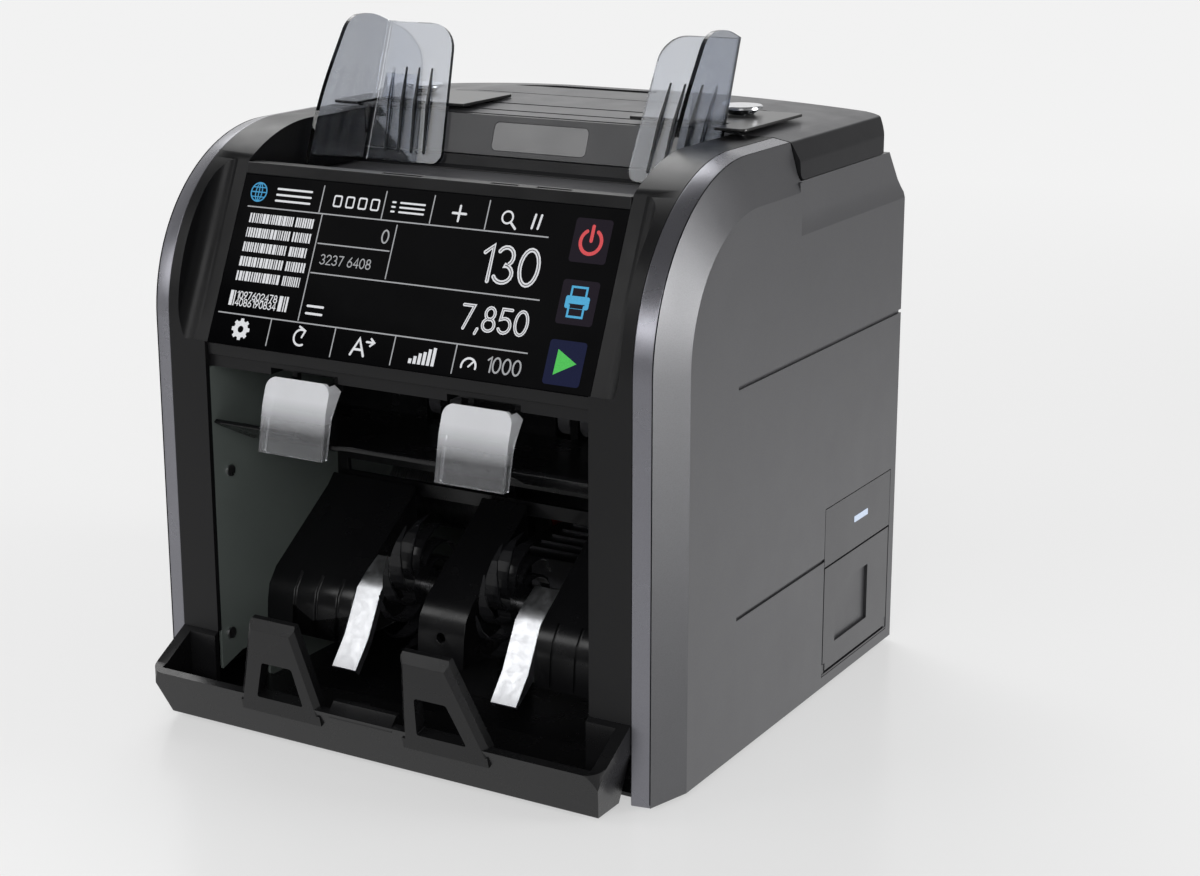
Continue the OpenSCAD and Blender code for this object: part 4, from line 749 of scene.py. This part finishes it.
        u, v = -78.8, 7.4
        gear = ring(circle(u, v, 3.7, 32), circle(u, v, 1.5, 32))
        for i in range(8):
            a = math.radians(45 * i)
            c, s = math.cos(a), math.sin(a)
            gear.append([(u + c * r - s * t, v + s * r + c * t)
                         for r, t in ((3.4, -0.95), (4.7, -0.75), (4.7, 0.75), (3.4, 0.95))])
        glass_piece("screen_gear", gear, white)

        u, v, r = -85.9, 67.6, 4.4
        globe = ring(circle(u, v, r, 32), circle(u, v, r - 0.6, 32))
        globe += ring(circle(u, v, 1.9, 32, r - 0.3), circle(u, v, 1.4, 32, r - 0.8))
        globe += stroke([(u - r + 0.4, v), (u + r - 0.4, v)], 0.5)
        globe += stroke([(u, v - r + 0.4), (u, v + r - 0.4)], 0.5)
        for rise in (2.1, -2.1):
            globe += stroke([(u - 3.6, v + rise), (u + 3.6, v + rise)], 0.45)
        glass_piece("screen_globe", globe, blue)
        return {"FINISHED"}


class COUNTER_OT_keys(bpy.types.Operator):
    """Makes the three touch keys beside the screen and their signs"""

    bl_idname = "counter.keys"
    bl_label = "Make touch keys"

    def execute(self, context):
        glow = context.scene.counter_sizes.glow
        plum = lit_ink("key_plum", (0.013, 0.009, 0.016, 1), glow)
        navy = lit_ink("key_navy", (0.009, 0.012, 0.045, 1), glow)
        red = lit_ink("sign_red", (0.78, 0.10, 0.11, 1), glow)
        sky = lit_ink("sign_blue", (0.10, 0.47, 0.78, 1), glow)
        green = lit_ink("sign_green", (0.10, 0.62, 0.12, 1), glow)
        left, right, tall, corner, under_signs = 72.3, 89, 18, 1.4, 0.05
        for name, low, ink in (("key_power", 52.3, plum), ("key_print", 27.2, plum),
                               ("key_start", 2.8, navy)):
            glass_piece(name, [round_box(left, low, right, low + tall, corner)], ink, under_signs)
        on_keys = 0.1
        u, v = 80.7, 60.9
        power = stroke(arc(u, v, 4.7, 4.9, 122, 418, 26), 1.5)
        power += stroke([(u, v + 0.4), (u, v + 6.3)], 1.5)
        glass_piece("sign_power", power, red, on_keys)
        u, v = 80.4, 36.2
        printer = ring(round_box(u - 5.4, v - 2.6, u + 5.4, v + 2.6, 1.0),
                       round_box(u - 3.6, v - 2.4, u + 3.6, v - 0.6, 0.3))
        for near, away in ((2.8, 6.2), (-1.4, -5.8)):
            printer += stroke([(u - 3.4, v + near), (u - 3.4, v + away),
                               (u + 3.4, v + away), (u + 3.4, v + near)], 0.9)
        glass_piece("sign_print", printer, sky, on_keys)
        glass_piece("sign_start", [[(76.4, 6.7), (85.9, 12), (76.6, 17.1)]], green, on_keys)
        return {"FINISHED"}


def guide_rim_painted_shade(name, node, material, body):
    """Dark skin over a guide's narrow edge faces and its ribs: painted shade for the darkening that smoked
    plastic shows there.
    """
    source = bmesh.new()
    source.from_mesh(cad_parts[node].data)
    flat = [f for f in source.faces if abs(f.normal.x) < 0.01 and f.normal.y < -0.9]
    pane = max(flat, key=lambda f: f.calc_area())
    out = pane.normal.copy()
    level = pane.calc_center_median().dot(out)
    bm = bmesh.new()
    for face in source.faces:
        n, at = face.normal, face.calc_center_median()
        side, back = abs(n.x), abs(n.dot(out))
        # Edge faces are neither sides nor front; ribs stand a little proud of the pane
        inner = abs(at.x) < GUIDE_FOLD
        edge = (side < 0.05 and back < 0.97) or (back < 0.05 and side < 0.97 and inner)
        edge = edge or (side > 0.9 and inner)
        rib = 0.05 * MM < at.dot(out) - level < 2.3 * MM and inner
        if edge or rib:
            bm.faces.new([bm.verts.new(v.co + n * 0.015 * MM) for v in face.verts])
    source.free()
    bmesh.ops.remove_doubles(bm, verts=bm.verts, dist=SAME_POINT)
    return solid_piece(name, bm, material, body)


class COUNTER_OT_guides(bpy.types.Operator):
    """Finishes the clear note guides, their sliders and knobs, and the reject stops"""

    bl_idname = "counter.guides"
    bl_label = "Finish guides and stops"

    def execute(self, context):
        smoke = clear_plastic("smoked_clear", (0.97, 0.98, 1.0, 1), 0.02,
                              smoke=tuple(context.scene.counter_colours.smoke))
        low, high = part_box("reject_stop_left")
        tall = high.z - low.z
        # The stops' upper parts turn milky and light as a painted reflection
        clear = clear_plastic("stop_clear_painted_reflection", (0.93, 0.94, 0.97, 1), 0.09,
                              reflection_heights=(low.z + 0.3 * tall, high.z - 0.25 * tall))
        # Painted shade on the guides' edge faces and ribs
        rim = moulded("guide_rim_painted_shade", (0.010, 0.011, 0.014, 1), 0.2, sheen=0.5, **SMOOTH)
        knob = sheet_metal("knob_metal", (0.62, 0.63, 0.65, 1), 0.18, (1, 1, 30), scratch=0.05)
        for side in ("left", "right"):
            wear("note_guide_" + side, smoke)
            guide_rim_painted_shade("guide_rim_painted_shade_" + side, "note_guide_" + side, rim, "guide_" + side)
            wear("reject_stop_" + side, clear)
            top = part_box("guide_slider_" + side)[1].z
            wear("guide_slider_" + side, two_shot("slider_" + side, top - CLEAR_RISE), 0.3)
            wear("guide_knob_" + side, knob)
        return {"FINISHED"}


class COUNTER_OT_printer(bpy.types.Operator):
    """Finishes the side printer's frame, door and status lens"""

    bl_idname = "counter.printer"
    bl_label = "Finish printer"

    def execute(self, context):
        colours = context.scene.counter_colours
        cover = metallic_paint("printer_paint", shade(tuple(colours.cover), 0.85))
        wear("printer_frame", cover, 0.4)
        wear("printer_door", cover, 0.4)
        wear("status_lens", lit_ink("lens_light", (0.70, 0.80, 1.0, 1), 0.95))
        return {"FINISHED"}


def rear_piece(name, faces, material, lift=0.0):
    """Shapes given in mm of X and Z, just above the outer faces of the sockets."""
    outlines = [[(x * MM, SOCKET_FACE + lift, z * MM) for x, z in face] for face in faces]
    return flat_piece(name, outlines, material, Vector((0, 1, 0)))


def mouth(x, z, wide, tall):
    """Rectangle about its middle."""
    return bar(x - wide / 2, z - tall / 2, wide, tall)


class COUNTER_OT_rear(bpy.types.Operator):
    """Finishes the inlet, rocker and screws, and fits the sockets' pins and the inlet's blades"""

    bl_idname = "counter.rear"
    bl_label = "Finish rear fittings"

    def execute(self, context):
        red = moulded("rocker_red", (0.22, 0.010, 0.008, 1), 0.2,
                      grain=600.0, depth=0.01 * MM, spread=0.05, sheen=0.4)
        wear("power_inlet", moulded("inlet_black", (0.015, 0.015, 0.015, 1), 0.4), 0.4)
        wear("power_rocker", red, 0.3)
        wear("case_screws", sheet_metal("screw_steel", (0.5, 0.5, 0.51, 1), 0.3, along=EVEN))

        # Dark sheets on the socket faces: the dark insides of the openings, with painted shade for their
        # depth
        opening_shade = moulded("socket_painted_shade", (0.01, 0.01, 0.011, 1), 0.4, sheen=0.3, **SMOOTH)
        mouths = [mouth(-30, 114.5, 10.8, 3.8), mouth(-8, 114.5, 10.4, 7.4), mouth(-8, 109.7, 4.4, 2.4)]
        mouths.append([(11, 118.6), (33, 118.6), (31.6, 110.4), (12.4, 110.4)])
        rear_piece("socket_mouths", mouths, opening_shade)
        metal = sheet_metal("pin_metal", (0.7, 0.6, 0.35, 1), 0.25, along=EVEN)
        pins = [circle(13.9 + 4.05 * i, 116.2, 0.6, 10) for i in range(5)]
        pins += [circle(15.9 + 4.05 * i, 112.8, 0.6, 10) for i in range(4)]
        pins.append(mouth(-30, 114.1, 8.6, 1.2))
        pins += [mouth(-11.8 + 1.1 * i, 116.8, 0.5, 2.4) for i in range(8)]
        rear_piece("socket_pins", pins, metal, 0.03 * MM)

        steel = sheet_metal("blade_metal", (0.7, 0.7, 0.71, 1), 0.2, along=EVEN)
        size = Matrix.Diagonal((2 * MM, 12 * MM, 5.6 * MM, 1))
        bm = bmesh.new()
        for x, z in ((-92, 31.3), (-78, 31.3), (-85, 35.3)):
            block = bmesh.ops.create_cube(bm, size=1)["verts"]
            place = Matrix.Translation((x * MM, 122.4 * MM, z * MM)) @ size
            bmesh.ops.transform(bm, matrix=place, verts=block)
        bmesh.ops.bevel(bm, geom=list(bm.edges), offset=0.3 * MM, segments=1, affect="EDGES")
        solid_piece("inlet_blades", bm, steel, "casing")
        return {"FINISHED"}


AIM = (0, 0, 0.14)
HIGH_AIM = (0, 0, 0.2)
# Name, place, aim, width and height in m, power in W, spread in degrees
LAMPS = (
    ("key_softbox", (0.9, -1.75, 1.0), AIM, (0.9, 0.9), 12, 180),
    ("side_softbox", (1.25, 0.38, 0.25), (0.15, 0.0, 0.16), (0.55, 0.4), 3, 80),
    ("top_softbox", (-0.9, 0.9, 1.5), AIM, (1.1, 1.1), 15, 180),
    ("front_softbox", (-0.95, -1.28, 1.24), AIM, (0.6, 0.55), 4, 180),
    ("low_softbox", (-0.1, -1.95, 0.76), HIGH_AIM, (0.8, 0.5), 7, 180),
    ("left_softbox", (-1.6, -1.15, 0.55), HIGH_AIM, (0.4, 0.6), 4, 180),
)


def lamp(name, at, to, size, power, spread):
    data = bpy.data.lights.new(name, "AREA")
    data.shape = "RECTANGLE"
    data.size, data.size_y = size
    data.energy = power
    data.spread = math.radians(spread)
    obj = bpy.data.objects.new(name, data)
    bpy.context.scene.collection.objects.link(obj)
    obj.location = at
    obj.visible_camera = False
    obj.rotation_euler = (Vector(to) - Vector(at)).to_track_quat("-Z", "Y").to_euler()
    return obj


def floor_finish():
    """White floor that turns into the pale backdrop further out, less so in mirrored rays."""
    mat, tree, shader = new_material("floor_white")
    tones = tint(tree, noise(tree, object_coords(tree), 2.0), grey(0.79), grey(0.81))
    tree.links.new(tones, shader.inputs["Base Color"])
    shader.inputs["Roughness"].default_value = 0.22
    glow = tree.nodes.new("ShaderNodeEmission")
    glow.inputs["Color"].default_value = grey(0.90)
    place = tree.nodes.new("ShaderNodeNewGeometry")
    away = tree.nodes.new("ShaderNodeVectorMath")
    away.operation = "LENGTH"
    tree.links.new(place.outputs["Position"], away.inputs[0])
    distance = away.outputs["Value"]
    straight = maths(tree, "MULTIPLY", remap(tree, distance, 0.3, 1.5, 0.55, 0.96), seen_ray(tree))
    mirrored = remap(tree, distance, 0.35, 1.0, 0.9, 0.1)
    path = tree.nodes.new("ShaderNodeLightPath")
    share = tree.nodes.new("ShaderNodeMix")
    tree.links.new(path.outputs["Is Glossy Ray"], share.inputs["Factor"])
    tree.links.new(straight, share.inputs["A"])
    tree.links.new(mirrored, share.inputs["B"])
    to_output(tree, mix_shaders(tree, share.outputs["Result"], shader.outputs[0], glow.outputs[0]))
    return mat


def studio_world():
    """Plain light, and a pale backdrop behind and left of the object, dimmer elsewhere when mirrored."""
    world = bpy.data.worlds.new("studio")
    world.use_nodes = True
    tree = world.node_tree
    tree.nodes.clear()
    out = tree.nodes.new("ShaderNodeOutputWorld")
    light = tree.nodes.new("ShaderNodeBackground")
    light.inputs["Color"].default_value = grey(1.0)
    light.inputs["Strength"].default_value = 0.36
    seen = tree.nodes.new("ShaderNodeBackground")
    seen.inputs["Strength"].default_value = 1.0
    where = tree.nodes.new("ShaderNodeTexCoord")
    slope = tree.nodes.new("ShaderNodeVectorMath")
    slope.operation = "DOT_PRODUCT"
    slope.inputs[1].default_value = (-0.6, 0.55, -0.3)
    tree.links.new(where.outputs["Generated"], slope.inputs[0])
    level = remap(tree, slope.outputs["Value"], 0.05, 0.6, 0.10, 0.9)
    path = tree.nodes.new("ShaderNodeLightPath")
    straight = remap(tree, path.outputs["Is Camera Ray"], 0, 1, 0, 0.88)
    tree.links.new(maths(tree, "MAXIMUM", level, straight), seen.inputs["Color"])
    mixed = mix_shaders(tree, seen_ray(tree), light.outputs[0], seen.outputs[0])
    tree.links.new(mixed, out.inputs["Surface"])
    return world


def photo_camera():
    """Camera fitted to the straight edges in the photo."""
    data = bpy.data.cameras.new("camera")
    data.sensor_width = 36.0
    data.lens = 67.1766
    data.shift_x = 0.05
    data.shift_y = -0.02333
    data.clip_end = 60.0
    camera = bpy.data.objects.new("camera", data)
    bpy.context.scene.collection.objects.link(camera)
    right = Vector((0.85382016, 0.52052089, -0.00701002))
    down = Vector((0.12844776, -0.22370678, -0.9661555))
    ahead = Vector((-0.50447231, 0.82402262, -0.2578651))
    turn = Matrix((right, -down, -ahead)).transposed().to_4x4()
    camera.matrix_world = Matrix.Translation((0.515234, -0.821851, 0.387084)) @ turn
    return camera


class COUNTER_OT_stage(bpy.types.Operator):
    """Sets up the floor, the lamps and the camera"""

    bl_idname = "counter.stage"
    bl_label = "Set up stage"

    def execute(self, context):
        scene = context.scene
        bm = bmesh.new()
        bmesh.ops.create_grid(bm, x_segments=8, y_segments=8, size=9.0)
        floor = solid_piece("floor", bm, floor_finish(), None)
        # Further towards the back, where the camera looks
        floor.location = (0, 3.0, 0)
        scene.world = studio_world()
        for values in LAMPS:
            lamp(*values)
        scene.camera = photo_camera()
        scene.view_settings.view_transform = "Standard"
        return {"FINISHED"}


STEPS = (
    COUNTER_OT_stage,
    COUNTER_OT_casing,
    COUNTER_OT_works,
    COUNTER_OT_display,
    COUNTER_OT_keys,
    COUNTER_OT_guides,
    COUNTER_OT_printer,
    COUNTER_OT_rear,
)


class COUNTER_PT_panel(bpy.types.Panel):
    """Lists the steps that dress the banknote counter"""

    bl_idname = "COUNTER_PT_panel"
    bl_label = "Banknote counter"
    bl_space_type = "VIEW_3D"
    bl_region_type = "UI"
    bl_category = "Counter"

    def draw(self, context):
        layout = self.layout
        for group in (context.scene.counter_colours, context.scene.counter_sizes):
            for name in group.bl_rna.properties.keys():
                if name not in ("rna_type", "name"):
                    layout.prop(group, name)
        for step in STEPS:
            layout.operator(step.bl_idname)


CLASSES = (CounterColours, CounterSizes) + STEPS + (COUNTER_PT_panel,)


def register():
    for item in CLASSES:
        bpy.utils.register_class(item)
    bpy.types.Scene.counter_colours = bpy.props.PointerProperty(type=CounterColours)
    bpy.types.Scene.counter_sizes = bpy.props.PointerProperty(type=CounterSizes)


def unregister():
    del bpy.types.Scene.counter_colours
    del bpy.types.Scene.counter_sizes
    for item in reversed(CLASSES):
        bpy.utils.unregister_class(item)


def main():
    register()
    for step in STEPS:
        group, name = step.bl_idname.split(".")
        getattr(getattr(bpy.ops, group), name)()


if __name__ == "__main__":
    main()
